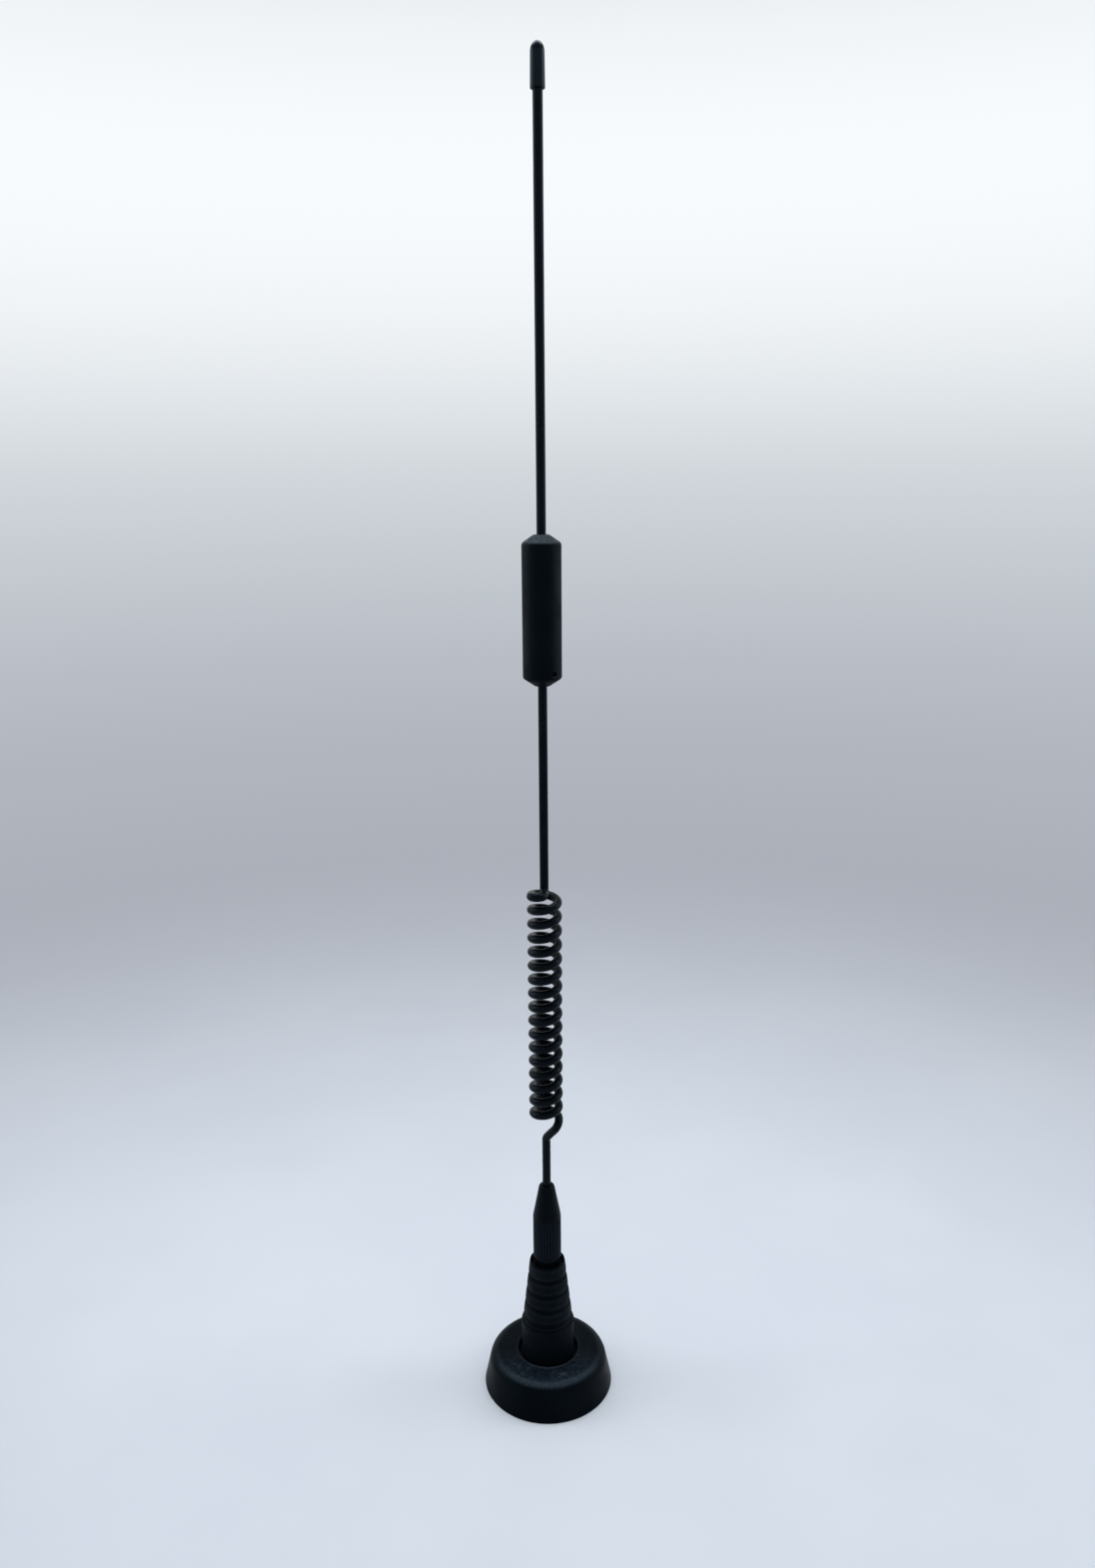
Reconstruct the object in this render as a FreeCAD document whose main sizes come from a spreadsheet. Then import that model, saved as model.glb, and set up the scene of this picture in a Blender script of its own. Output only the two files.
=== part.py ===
import FreeCAD, Part
import Sketcher
import math
import os
import re

# Magnetic mount antenna, in millimetres: +Z up, origin at the centre of the base's underside, front at -Y.
# Driving sizes, each kept in a named cell of the sheet.
SIZES = {
    # base cover
    "base_radius": 27.7,
    "shoulder_radius": 24.3,
    "base_height": 16.0,
    "cover_wall": 2.0,
    "cover_top_wall": 2.5,
    "shoulder_round": 6.0,
    "cover_hole_radius": 12.8,
    "hole_lip_round": 0.7,
    # pad, magnet and plate
    "pad_thickness": 1.0,
    "pad_clearance": 0.3,
    "magnet_height": 5.5,
    "magnet_clearance": 0.4,
    "magnet_hole_radius": 8.0,
    "plate_thickness": 1.5,
    "plate_clearance": 0.4,
    # screws that hold the plate to the cover
    "screw_count": 3,
    "screw_edge_distance": 3.3,
    "screw_radius": 1.2,
    "screw_head_radius": 1.9,
    "screw_head_height": 1.6,
    "screw_hole_gap": 0.3,
    "screw_tip_gap": 0.5,
    "boss_wall": 1.4,
    "boss_root": 0.4,
    "thread_gap": 0.05,
    # cable inlet at the rear
    "inlet_floor_gap": 0.1,
    "inlet_proud": 1.2,
    "inlet_depth": 4.0,
    "inlet_boss_wall": 0.7,
    "cable_radius": 1.5,
    "grommet_wall": 0.6,
    "grommet_lip": 0.4,
    "grommet_lip_thickness": 0.9,
    # stud and the stack that clamps it to the plate
    "stud_radius": 3.0,
    "stud_gap": 0.1,
    "stud_end_reach": 0.5,
    "nut_across_flats": 10.0,
    "nut_height": 3.2,
    "lock_washer_radius": 5.4,
    "lock_washer_thickness": 0.8,
    "lock_washer_slit": 0.8,
    "bush_flange_radius": 6.0,
    "bush_flange_thickness": 0.6,
    "bush_wall": 1.3,
    "bush_gap": 0.1,
    "washer_radius": 8.0,
    "washer_thickness": 0.8,
    "lug_radius": 5.5,
    "lug_thickness": 0.5,
    "lug_reach": 13.0,
    "lug_tongue_width": 3.2,
    "lug_hole_radius": 0.9,
    "tag_length": 7.0,
    "tag_side_step": 7.0,
    "tag_edge_distance": 3.1,
    # insulator post and ribbed boot
    "post_wall": 2.8,
    "post_gap": 0.1,
    "boot_flange_lap": 1.8,
    "boot_flange_thickness": 1.5,
    "skirt_gap": 1.5,
    "skirt_rise": 15.0,
    "skirt_edge": 0.4,
    "collar_groove_depth": 0.6,
    "collar_groove_width": 0.5,
    "skirt_step": 0.5,
    "boot_rise": 44.0,
    "boot_rim_radius": 7.5,
    "rim_wall": 0.48,
    "recess_depth": 4.5,
    "rib_count": 4,
    "rib_pitch": 6.65,
    "rib_groove_radius": 0.6,
    "rib_groove_depth": 0.45,
    # seal ring
    "seal_thickness": 2.0,
    "seal_clearance": 0.35,
    "seal_gap": 0.08,
    # ferrule
    "ferrule_gap": 2.0,
    "ferrule_radius": 5.95,
    "flute_length": 19.5,
    "flute_count": 28,
    "flute_radius": 0.45,
    "flute_depth": 0.35,
    "cone_height": 14.5,
    "ferrule_top_radius": 3.2,
    "ferrule_top_round": 0.8,
    "spigot_step": 0.6,
    "tail_radius": 4.1,
    "tail_clearance": 0.3,
    "thread_engagement": 10.2,
    "bore_relief": 1.0,
    "ferrule_socket_depth": 12.0,
    # rods and the open coil
    "rod_radius": 1.75,
    "rod_fit": 0.02,
    "coil_rise": 31.0,
    "coil_radius": 5.25,
    "coil_pitch": 5.96,
    "coil_turns": 16.5,
    "lower_bend_height": 8.8,
    "lower_bend_radius": 2.6,
    "lower_bend_lead": 1.7,
    "hook_straight": 0.05,
    "rod_above_coil": 83.8,
    "upper_rod_length": 146.5,
    # coil housing
    "housing_radius": 7.4,
    "housing_length": 56.1,
    "housing_cone_height": 3.0,
    "housing_end_radius": 2.9,
    "housing_wall": 1.5,
    "housing_top_wall": 4.2,
    "housing_edge_round": 0.5,
    "fit_gap": 0.05,
    "end_cap_spigot": 13.0,
    "end_cap_floor": 1.0,
    "upper_socket_length": 10.0,
    "upper_socket_floor": 2.0,
    "former_wall": 1.5,
    "former_bore_radius": 2.5,
    "former_flange_thickness": 1.0,
    "winding_build": 1.2,
    "set_screw_radius": 0.9,
    "set_screw_rise": 2.1,
    "set_screw_angle": 39.0,
    "set_screw_sink": 1.6,
    "set_screw_socket_depth": 1.2,
    "set_screw_socket_radius": 0.5,
    # tip cap
    "cap_length": 14.6,
    "cap_radius": 2.6,
    "cap_top_radius": 2.48,
    "cap_dome_height": 3.5,
    "cap_edge": 0.3,
    "cap_socket_depth": 9.0,
}

# Sizes and heights worked out from the driving ones, so that pieces that fit follow each other.
WORKED_OUT = {
    # heights of the clamped stack, from the pad upwards
    "plate_bottom": "pad_thickness + magnet_height",
    "plate_top": "plate_bottom + plate_thickness",
    "lock_washer_top": "plate_bottom - bush_flange_thickness",
    "nut_top": "lock_washer_top - lock_washer_thickness",
    "nut_bottom": "nut_top - nut_height",
    "lug_bottom": "plate_top + washer_thickness",
    "lug_top": "lug_bottom + lug_thickness",
    "cover_ceiling": "base_height - cover_top_wall",
    "boot_bottom": "cover_ceiling - boot_flange_thickness",
    "skirt_top": "base_height + skirt_rise",
    "boot_rim": "base_height + boot_rise",
    "recess_floor": "boot_rim - recess_depth",
    # radii of the cover and of what fits inside it
    "flank_slope": "(base_radius - shoulder_radius) / base_height",
    "ceiling_radius": "base_radius - cover_wall - flank_slope * cover_ceiling",
    "plate_radius": "base_radius - cover_wall - flank_slope * plate_top - plate_clearance",
    "screw_circle_radius": "plate_radius - screw_edge_distance",
    "magnet_radius": "screw_circle_radius - screw_head_radius - magnet_clearance",
    "pad_radius": "base_radius - cover_wall - flank_slope * pad_thickness - pad_clearance",
    "bush_radius": "stud_radius + stud_gap + bush_wall",
    "stud_hole_radius": "stud_radius + stud_gap",
    "thread_hole_radius": "stud_radius + thread_gap",
    "post_radius": "stud_hole_radius + post_wall",
    "boot_bore_radius": "post_radius + post_gap",
    "skirt_radius": "cover_hole_radius - skirt_gap",
    "boot_flange_radius": "cover_hole_radius + boot_flange_lap",
    "boot_foot_radius": "skirt_radius - skirt_step",
    "boot_taper": "(boot_foot_radius - boot_rim_radius) / (boot_rim - skirt_top)",
    "recess_radius": "boot_rim_radius - rim_wall",
    "grommet_radius": "cable_radius + grommet_wall",
    "grommet_lip_radius": "grommet_radius + grommet_lip",
    "inlet_boss_radius": "grommet_radius + inlet_boss_wall",
    "inlet_height": "plate_top + inlet_boss_radius + inlet_floor_gap",
    "inlet_face": "base_radius - flank_slope * inlet_height + inlet_proud",
    # seal and ferrule
    "seal_top": "recess_floor + seal_thickness",
    "ferrule_base": "boot_rim + ferrule_gap",
    "tail_end": "recess_floor + tail_clearance",
    "stud_top": "tail_end + thread_engagement",
    "ferrule_top": "ferrule_base + flute_length + cone_height",
    "lower_rod_end": "ferrule_top - ferrule_socket_depth",
    "rod_hole_radius": "rod_radius + rod_fit",
    # rods and housing
    "coil_bottom": "ferrule_top + coil_rise",
    "coil_top": "coil_bottom + coil_pitch * coil_turns",
    "hook_radius": "(coil_radius - hook_straight) / 2",
    "hook_reach": "coil_radius + hook_straight",
    "housing_bottom": "coil_top + rod_above_coil",
    "housing_seam": "housing_bottom + housing_cone_height",
    "housing_top": "housing_bottom + housing_length",
    "housing_ceiling": "housing_top - housing_top_wall",
    "housing_bore_radius": "housing_radius - housing_wall",
    "core_radius": "housing_bore_radius - fit_gap",
    "former_bottom": "housing_bottom + end_cap_spigot",
    "former_top": "housing_ceiling - upper_socket_length",
    "former_length": "former_top - former_bottom",
    "former_radius": "former_bore_radius + former_wall",
    "coiled_rod_top": "former_bottom - end_cap_floor",
    "upper_rod_bottom": "former_top + upper_socket_floor",
    "cap_bottom": "housing_top + upper_rod_length",
    "upper_rod_top": "cap_bottom + cap_socket_depth",
}

doc = FreeCAD.newDocument("magnetic_mount_antenna")
sheet = doc.addObject("Spreadsheet::Sheet", "dim")
for row, (name, number) in enumerate(SIZES.items(), start=1):
    sheet.set(f"A{row}", name)
    sheet.set(f"B{row}", str(number))
    sheet.setAlias(f"B{row}", name)
doc.recompute()


def formula(words):
    """The expression with each size read from the sheet and each worked-out name replaced by its formula."""
    def swap(match):
        word = match[0]
        if word in SIZES:
            return f"dim.{word}"
        if word in WORKED_OUT:
            return f"({formula(WORKED_OUT[word])})"
        return word
    return re.sub(r"[a-z][a-z_]*", swap, words)


def value(words):
    """The number that an expression gives."""
    return float(sheet.evalExpression(formula(words)))


def bind(item, **sizes):
    """Tie properties of an object to expressions."""
    for prop, words in sizes.items():
        item.setExpression(prop, formula(words))


def place(item, height="0"):
    """Raise a piece to its height in the assembly."""
    item.setExpression("Placement.Base.z", formula(height))
    return item


def origin_feature(body, role):
    """A plane or an axis of the body's own origin."""
    return next(feature for feature in body.Origin.OriginFeatures if feature.Role == role)


def new_sketch(body, name, role, offset="0"):
    """An empty sketch on one of the body's origin planes, moved along the plane's normal."""
    sketch = body.newObject("Sketcher::SketchObject", name)
    sketch.AttachmentSupport = [(origin_feature(body, role), "")]
    sketch.MapMode = "FlatFace"
    sketch.setExpression("AttachmentOffset.Base.z", formula(offset))
    return sketch


def fix_point(sketch, geometry, point, across, up):
    """Hold a point of the sketch at its distances from the sketch's origin."""
    for kind, words in (("DistanceX", across), ("DistanceY", up)):
        index = sketch.addConstraint(Sketcher.Constraint(kind, -1, 1, geometry, point, value(words)))
        sketch.setExpression(f"Constraints[{index}]", formula(words))


def draw_outline(sketch, corners):
    """A closed outline of straight lines through corners given as expressions."""
    points = [FreeCAD.Vector(value(across), value(up), 0) for across, up in corners]
    for index, start in enumerate(points):
        sketch.addGeometry(Part.LineSegment(start, points[(index + 1) % len(points)]))
    for index in range(len(points)):
        sketch.addConstraint(Sketcher.Constraint("Coincident", index, 2, (index + 1) % len(points), 1))
    for index, (across, up) in enumerate(corners):
        fix_point(sketch, index, 1, across, up)


def draw_circle(sketch, across, up, radius):
    """A circle held by its centre and radius."""
    centre = FreeCAD.Vector(value(across), value(up), 0)
    circle = sketch.addGeometry(Part.Circle(centre, FreeCAD.Vector(0, 0, 1), value(radius)))
    fix_point(sketch, circle, 3, across, up)
    index = sketch.addConstraint(Sketcher.Constraint("Radius", circle, value(radius)))
    sketch.setExpression(f"Constraints[{index}]", formula(radius))


def turned(label, corners, height="0"):
    """A round piece: a half section of (radius, height) corners turned about Z."""
    body = doc.addObject("PartDesign::Body", label)
    section = new_sketch(body, f"{label}_section", "XZ_Plane")
    draw_outline(section, corners)
    turn = body.newObject("PartDesign::Revolution", f"{label}_turn")
    turn.Profile = section
    turn.ReferenceAxis = (section, ["V_Axis"])
    turn.Angle = 360
    return place(body, height)


def round_edge(body, name, radius, edge_radius, edge_height):
    """Round the circular edge that lies at the given radius and height of the body."""
    doc.recompute()
    tip = body.Tip
    wanted = (value(edge_radius), value(edge_height))
    for index, edge in enumerate(tip.Shape.Edges, start=1):
        curve = edge.Curve
        if isinstance(curve, Part.Circle) and math.dist((curve.Radius, curve.Center.z), wanted) < 1e-4:
            fillet = body.newObject("PartDesign::Fillet", name)
            fillet.Base = (tip, [f"Edge{index}"])
            bind(fillet, Radius=radius)
            return fillet
    raise ValueError(f"{name}: no edge at radius and height {wanted}")


def ring_pattern(body, name, features, count):
    """Repeat features of the body evenly about its Z axis."""
    pattern = body.newObject("PartDesign::PolarPattern", name)
    pattern.Originals = features
    pattern.Axis = (origin_feature(body, "Z_Axis"), [""])
    pattern.Angle = 360
    bind(pattern, Occurrences=count)
    body.Tip = pattern
    return pattern


def cylinder(name, radius, length, height="0"):
    """A plain upright cylinder."""
    item = doc.addObject("Part::Cylinder", name)
    bind(item, Radius=radius, Height=length)
    return place(item, height)


def cut(label, base, tool):
    """One piece with another shape taken out of it."""
    item = doc.addObject("Part::Cut", label)
    item.Base = base
    item.Tool = tool
    return item


def ring(label, outer, inner, length, height):
    """A flat-ended ring."""
    return turned(label, [(inner, "0"), (outer, "0"), (outer, length), (inner, length)], height)


def base_cover():
    """Moulded cover: sloped flank, flat top with a hole, screw bosses and the cable inlet's boss."""
    body = turned("base_cover", [
        ("base_radius - cover_wall", "0"),
        ("base_radius", "0"),
        ("shoulder_radius", "base_height"),
        ("cover_hole_radius", "base_height"),
        ("cover_hole_radius", "cover_ceiling"),
        ("ceiling_radius", "cover_ceiling"),
    ])
    round_edge(body, "shoulder_rounding", "shoulder_round", "shoulder_radius", "base_height")
    round_edge(body, "lip_rounding", "hole_lip_round", "cover_hole_radius", "base_height")

    # screw bosses hang from the ceiling and stand on the plate
    boss_sketch = new_sketch(body, "boss_sketch", "XY_Plane", "plate_top")
    draw_circle(boss_sketch, "0", "-screw_circle_radius", "screw_radius + boss_wall")
    boss = body.newObject("PartDesign::Pad", "boss")
    boss.Profile = boss_sketch
    bind(boss, Length="cover_ceiling - plate_top + boss_root")
    ring_pattern(body, "bosses", [boss], "screw_count")
    doc.recompute()
    pilot_sketch = new_sketch(body, "pilot_sketch", "XY_Plane", "plate_top")
    draw_circle(pilot_sketch, "0", "-screw_circle_radius", "screw_radius + thread_gap")
    pilot = body.newObject("PartDesign::Pocket", "pilot")
    pilot.Profile = pilot_sketch
    pilot.Reversed = True
    bind(pilot, Length="cover_ceiling - plate_top")
    ring_pattern(body, "pilots", [pilot], "screw_count")
    doc.recompute()

    # the inlet's boss has a flat face outside and inside, and the grommet's hole through it
    inlet_sketch = new_sketch(body, "inlet_sketch", "XZ_Plane", "-inlet_face")
    draw_circle(inlet_sketch, "0", "inlet_height", "inlet_boss_radius")
    inlet = body.newObject("PartDesign::Pad", "inlet")
    inlet.Profile = inlet_sketch
    bind(inlet, Length="inlet_depth")
    doc.recompute()
    hole_sketch = new_sketch(body, "inlet_hole_sketch", "XZ_Plane", "-inlet_face")
    draw_circle(hole_sketch, "0", "inlet_height", "grommet_radius")
    hole = body.newObject("PartDesign::Pocket", "inlet_hole")
    hole.Profile = hole_sketch
    hole.Reversed = True
    bind(hole, Length="inlet_depth")
    return body


def cable_grommet():
    """Rubber grommet in the cable inlet, turned about the cable's axis."""
    body = turned("cable_grommet", [
        ("cable_radius", "-grommet_lip_thickness"),
        ("grommet_lip_radius", "-grommet_lip_thickness"),
        ("grommet_lip_radius", "0"),
        ("grommet_radius", "0"),
        ("grommet_radius", "inlet_depth"),
        ("grommet_lip_radius", "inlet_depth"),
        ("grommet_lip_radius", "inlet_depth + grommet_lip_thickness"),
        ("cable_radius", "inlet_depth + grommet_lip_thickness"),
    ], "inlet_height")
    body.Placement.Rotation = FreeCAD.Rotation(FreeCAD.Vector(1, 0, 0), 90)
    body.setExpression("Placement.Base.y", formula("inlet_face"))
    return body


def steel_plate():
    """Round steel plate that carries the magnet, with holes for the bush and the screws."""
    body = ring("steel_plate", "plate_radius", "bush_radius + bush_gap", "plate_thickness", "plate_bottom")
    doc.recompute()
    sketch = new_sketch(body, "plate_hole_sketch", "XY_Plane")
    draw_circle(sketch, "0", "-screw_circle_radius", "screw_radius + screw_hole_gap")
    hole = body.newObject("PartDesign::Pocket", "plate_hole")
    hole.Profile = sketch
    hole.Reversed = True
    bind(hole, Length="plate_thickness")
    ring_pattern(body, "plate_holes", [hole], "screw_count")
    return body


def plate_screws():
    """Pan-head screws, head down, that hold the plate up against the cover's bosses."""
    screws = []
    count = int(value("screw_count"))
    for index in range(count):
        screw = turned(f"plate_screw_{index + 1}", [
            ("0", "-screw_head_height"),
            ("screw_head_radius", "-screw_head_height"),
            ("screw_head_radius", "0"),
            ("screw_radius", "0"),
            ("screw_radius", "cover_ceiling - plate_bottom - screw_tip_gap"),
            ("0", "cover_ceiling - plate_bottom - screw_tip_gap"),
        ], "plate_bottom")
        turn = f"{index} * 360 / screw_count"
        screw.setExpression("Placement.Base.x", formula(f"screw_circle_radius * sin({turn})"))
        screw.setExpression("Placement.Base.y", formula(f"-screw_circle_radius * cos({turn})"))
        screws.append(screw)
    group = doc.addObject("Part::Compound", "plate_screws")
    group.Links = screws
    return group


def stud_nut():
    """Thin hexagon nut under the plate."""
    hexagon = doc.addObject("Part::Prism", "nut_hexagon")
    hexagon.Polygon = 6
    bind(hexagon, Circumradius="nut_across_flats / sqrt(3)", Height="nut_height")
    place(hexagon, "nut_bottom")
    return cut("stud_nut", hexagon, cylinder("nut_thread", "thread_hole_radius", "nut_height", "nut_bottom"))


def lock_washer():
    """Split spring washer, pressed flat."""
    whole = ring("whole_washer", "lock_washer_radius", "stud_hole_radius", "lock_washer_thickness", "nut_top")
    slit = doc.addObject("Part::Box", "washer_slit")
    bind(slit, Length="lock_washer_radius", Width="lock_washer_slit", Height="lock_washer_thickness")
    slit.setExpression("Placement.Base.y", formula("-lock_washer_slit / 2"))
    place(slit, "nut_top")
    return cut("lock_washer", whole, slit)


def centre_lug():
    """Ring terminal for the cable's core, with a tongue that points at the inlet."""
    body = doc.addObject("PartDesign::Body", "centre_lug")
    eye_sketch = new_sketch(body, "lug_eye_sketch", "XY_Plane")
    draw_circle(eye_sketch, "0", "0", "lug_radius")
    eye = body.newObject("PartDesign::Pad", "lug_eye")
    eye.Profile = eye_sketch
    bind(eye, Length="lug_thickness")
    tongue_sketch = new_sketch(body, "lug_tongue_sketch", "XY_Plane")
    half = "lug_tongue_width / 2"
    draw_outline(tongue_sketch, [(f"-{half}", "0"), (half, "0"), (half, "lug_reach"), (f"-{half}", "lug_reach")])
    tongue = body.newObject("PartDesign::Pad", "lug_tongue")
    tongue.Profile = tongue_sketch
    bind(tongue, Length="lug_thickness")
    doc.recompute()
    hole_sketch = new_sketch(body, "lug_hole_sketch", "XY_Plane")
    draw_circle(hole_sketch, "0", "0", "stud_hole_radius")
    draw_circle(hole_sketch, "0", "lug_reach - lug_tongue_width / 2", "lug_hole_radius")
    holes = body.newObject("PartDesign::Pocket", "lug_holes")
    holes.Profile = hole_sketch
    holes.Reversed = True
    bind(holes, Length="lug_thickness")
    return place(body, "lug_bottom")


def ground_tag():
    """Flat solder tag on the plate, beside the inlet, for the cable's braid."""
    body = doc.addObject("PartDesign::Body", "ground_tag")
    sketch = new_sketch(body, "tag_sketch", "XY_Plane")
    half = "lug_tongue_width / 2"
    draw_outline(sketch, [(f"-{half}", "0"), (half, "0"), (half, "tag_length"), (f"-{half}", "tag_length")])
    draw_circle(sketch, "0", "lug_tongue_width / 2", "lug_hole_radius")
    tag = body.newObject("PartDesign::Pad", "tag")
    tag.Profile = sketch
    bind(tag, Length="lug_thickness")
    body.setExpression("Placement.Base.x", formula("-tag_side_step"))
    body.setExpression("Placement.Base.y", formula("plate_radius - tag_edge_distance - tag_length"))
    return place(body, "plate_top")


def lower_bush():
    """Shouldered insulating bush that centres the stud in the plate's hole."""
    return turned("lower_bush", [
        ("stud_hole_radius", "-bush_flange_thickness"),
        ("bush_flange_radius", "-bush_flange_thickness"),
        ("bush_flange_radius", "0"),
        ("bush_radius", "0"),
        ("bush_radius", "plate_thickness"),
        ("stud_hole_radius", "plate_thickness"),
    ], "plate_bottom")


def insulator_post():
    """Insulating column around the stud, with a wide foot that clamps the boot's flange."""
    return turned("insulator_post", [
        ("stud_hole_radius", "lug_top"),
        ("boot_flange_radius", "lug_top"),
        ("boot_flange_radius", "boot_bottom"),
        ("post_radius", "boot_bottom"),
        ("post_radius", "recess_floor"),
        ("stud_hole_radius", "recess_floor"),
    ])


def ribbed_boot():
    """Tapered rubber boot: flange, plain skirt, ribbed cone, and a thin rim around a recess."""
    groove_floor = "boot_foot_radius - collar_groove_depth"
    groove_top = "skirt_top + collar_groove_width"
    body = turned("ribbed_boot", [
        ("boot_bore_radius", "boot_bottom"),
        ("boot_flange_radius", "boot_bottom"),
        ("boot_flange_radius", "cover_ceiling"),
        ("skirt_radius", "cover_ceiling"),
        ("skirt_radius", "skirt_top - skirt_edge"),
        ("skirt_radius - skirt_edge", "skirt_top"),
        (groove_floor, "skirt_top"),
        (groove_floor, groove_top),
        ("boot_foot_radius - boot_taper * collar_groove_width", groove_top),
        ("boot_rim_radius", "boot_rim"),
        ("recess_radius", "boot_rim"),
        ("recess_radius", "recess_floor"),
        ("boot_bore_radius", "recess_floor"),
    ])
    doc.recompute()

    # round grooves part the ribs, evenly spaced down from the rim
    sketch = new_sketch(body, "rib_grooves_sketch", "XZ_Plane")
    for index in range(1, int(value("rib_count")) + 1):
        drop = f"{index} * rib_pitch"
        across = f"boot_rim_radius + boot_taper * {drop} + rib_groove_radius - rib_groove_depth"
        draw_circle(sketch, across, f"boot_rim - {drop}", "rib_groove_radius")
    grooves = body.newObject("PartDesign::Groove", "rib_grooves")
    grooves.Profile = sketch
    grooves.ReferenceAxis = (sketch, ["V_Axis"])
    grooves.Angle = 360
    return body


def ferrule():
    """Turned ferrule: tail and spigot below, fluted grip, cone, stud bore and rod socket."""
    body = turned("ferrule", [
        ("thread_hole_radius", "tail_end - ferrule_base"),
        ("tail_radius", "tail_end - ferrule_base"),
        ("tail_radius", "seal_top - ferrule_base"),
        ("ferrule_radius - spigot_step", "seal_top - ferrule_base"),
        ("ferrule_radius - spigot_step", "0"),
        ("ferrule_radius", "0"),
        ("ferrule_radius", "flute_length"),
        ("ferrule_top_radius", "flute_length + cone_height"),
        ("rod_hole_radius", "flute_length + cone_height"),
        ("rod_hole_radius", "lower_rod_end - ferrule_base"),
        ("0", "lower_rod_end - ferrule_base"),
        ("0", "stud_top + bore_relief - ferrule_base"),
        ("thread_hole_radius", "stud_top + bore_relief - ferrule_base"),
    ], "ferrule_base")
    round_edge(body, "ferrule_rounding", "ferrule_top_round", "ferrule_top_radius", "flute_length + cone_height")
    doc.recompute()
    sketch = new_sketch(body, "flute_sketch", "XY_Plane")
    draw_circle(sketch, "ferrule_radius + flute_radius - flute_depth", "0", "flute_radius")
    flute = body.newObject("PartDesign::Pocket", "flute")
    flute.Profile = sketch
    flute.Reversed = True
    bind(flute, Length="flute_length")
    ring_pattern(body, "flutes", [flute], "flute_count")
    return body


def rod_bend(before, corner, after, radius):
    """The arc that rounds the corner between two straight runs, with its two ends."""
    towards = (before - corner).normalize()
    onwards = (after - corner).normalize()
    half = towards.getAngle(onwards) / 2
    reach = radius / math.tan(half)
    start = corner + towards * reach
    end = corner + onwards * reach
    bisector = (towards + onwards).normalize()
    middle = corner + bisector * (radius / math.sin(half) - radius)
    return Part.Arc(start, middle, end).toShape(), start, end


def bent_run(points, radius):
    """Edges of straight runs through the points, with every inner corner rounded."""
    edges = []
    last = points[0]
    for before, corner, after in zip(points, points[1:], points[2:]):
        arc, start, end = rod_bend(before, corner, after, radius)
        edges.append(Part.LineSegment(last, start).toShape())
        edges.append(arc)
        last = end
    edges.append(Part.LineSegment(last, points[-1]).toShape())
    return edges


def coiled_lower_rod():
    """One round rod: straight, swung out into an open coil, hooked back to the axis and straight again."""
    up = FreeCAD.Vector(0, 0, 1)
    mean = value("coil_radius")
    bottom = value("coil_bottom")
    top = value("coil_top")
    climb = value("coil_pitch / coil_radius") / (2 * math.pi)

    # the swing from the axis meets the coil's first point along the coil's own direction
    first = FreeCAD.Vector(mean, 0, bottom)
    first_way = FreeCAD.Vector(0, 1, climb)
    swing = [
        FreeCAD.Vector(0, 0, value("lower_rod_end")),
        FreeCAD.Vector(0, 0, bottom - value("lower_bend_height")),
        first - first_way * value("lower_bend_lead * lower_bend_radius"),
        first,
    ]

    # the hook leaves the last point the same way, turns in front of the axis and rises on it
    angle = 2 * math.pi * value("coil_turns")
    outwards = FreeCAD.Vector(math.cos(angle), math.sin(angle), 0)
    along = FreeCAD.Vector(-math.sin(angle), math.cos(angle), 0)
    last = outwards * mean + up * top
    reach = value("hook_reach")
    level = top + climb * reach
    hook = [
        last,
        last + (along + up * climb) * reach,
        along * reach + up * level,
        up * level,
        up * value("coiled_rod_top"),
    ]
    coil = Part.makeLongHelix(value("coil_pitch"), top - bottom, mean, 0)
    coil.translate(up * bottom)
    path = doc.addObject("Part::Feature", "coiled_rod_path")
    swing_edges = bent_run(swing, value("lower_bend_radius"))
    hook_edges = bent_run(hook, value("hook_radius"))
    path.Shape = Part.Wire(swing_edges + coil.Edges + hook_edges)

    section = doc.addObject("Part::Circle", "coiled_rod_section")
    bind(section, Radius="rod_radius")
    place(section, "lower_rod_end")
    rod = doc.addObject("Part::Sweep", "coiled_lower_rod")
    rod.Sections = [section]
    rod.Spine = (path, [f"Edge{index + 1}" for index in range(len(path.Shape.Edges))])
    rod.Solid = True
    rod.Frenet = False
    return rod


def radial_hole(name, radius, inner, outer):
    """A cylinder that lies along the set screw's line, from an inner to an outer distance from the axis."""
    item = doc.addObject("Part::Cylinder", name)
    bind(item, Radius=radius, Height=f"{outer} - ({inner})")
    angle = math.radians(value("set_screw_angle"))
    direction = FreeCAD.Vector(math.sin(angle), -math.cos(angle), 0)
    item.Placement.Rotation = FreeCAD.Rotation(FreeCAD.Vector(0, 0, 1), direction)
    item.setExpression("Placement.Base.x", formula(f"({inner}) * sin(set_screw_angle)"))
    item.setExpression("Placement.Base.y", formula(f"-({inner}) * cos(set_screw_angle)"))
    return place(item, "housing_seam + set_screw_rise")


def housing_shell():
    """Moulded cylinder with a coned top, open below, with the set screw's hole."""
    body = turned("shell_body", [
        ("housing_bore_radius", "housing_seam"),
        ("housing_radius", "housing_seam"),
        ("housing_radius", "housing_top - housing_cone_height"),
        ("housing_end_radius", "housing_top"),
        ("rod_hole_radius", "housing_top"),
        ("rod_hole_radius", "housing_ceiling"),
        ("housing_bore_radius", "housing_ceiling"),
    ])
    round_edge(body, "shell_rounding", "housing_edge_round", "housing_radius", "housing_top - housing_cone_height")
    hole = radial_hole("shell_screw_hole", "set_screw_radius + thread_gap", "0", "housing_radius + housing_wall")
    return cut("housing_shell", body, hole)


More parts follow.
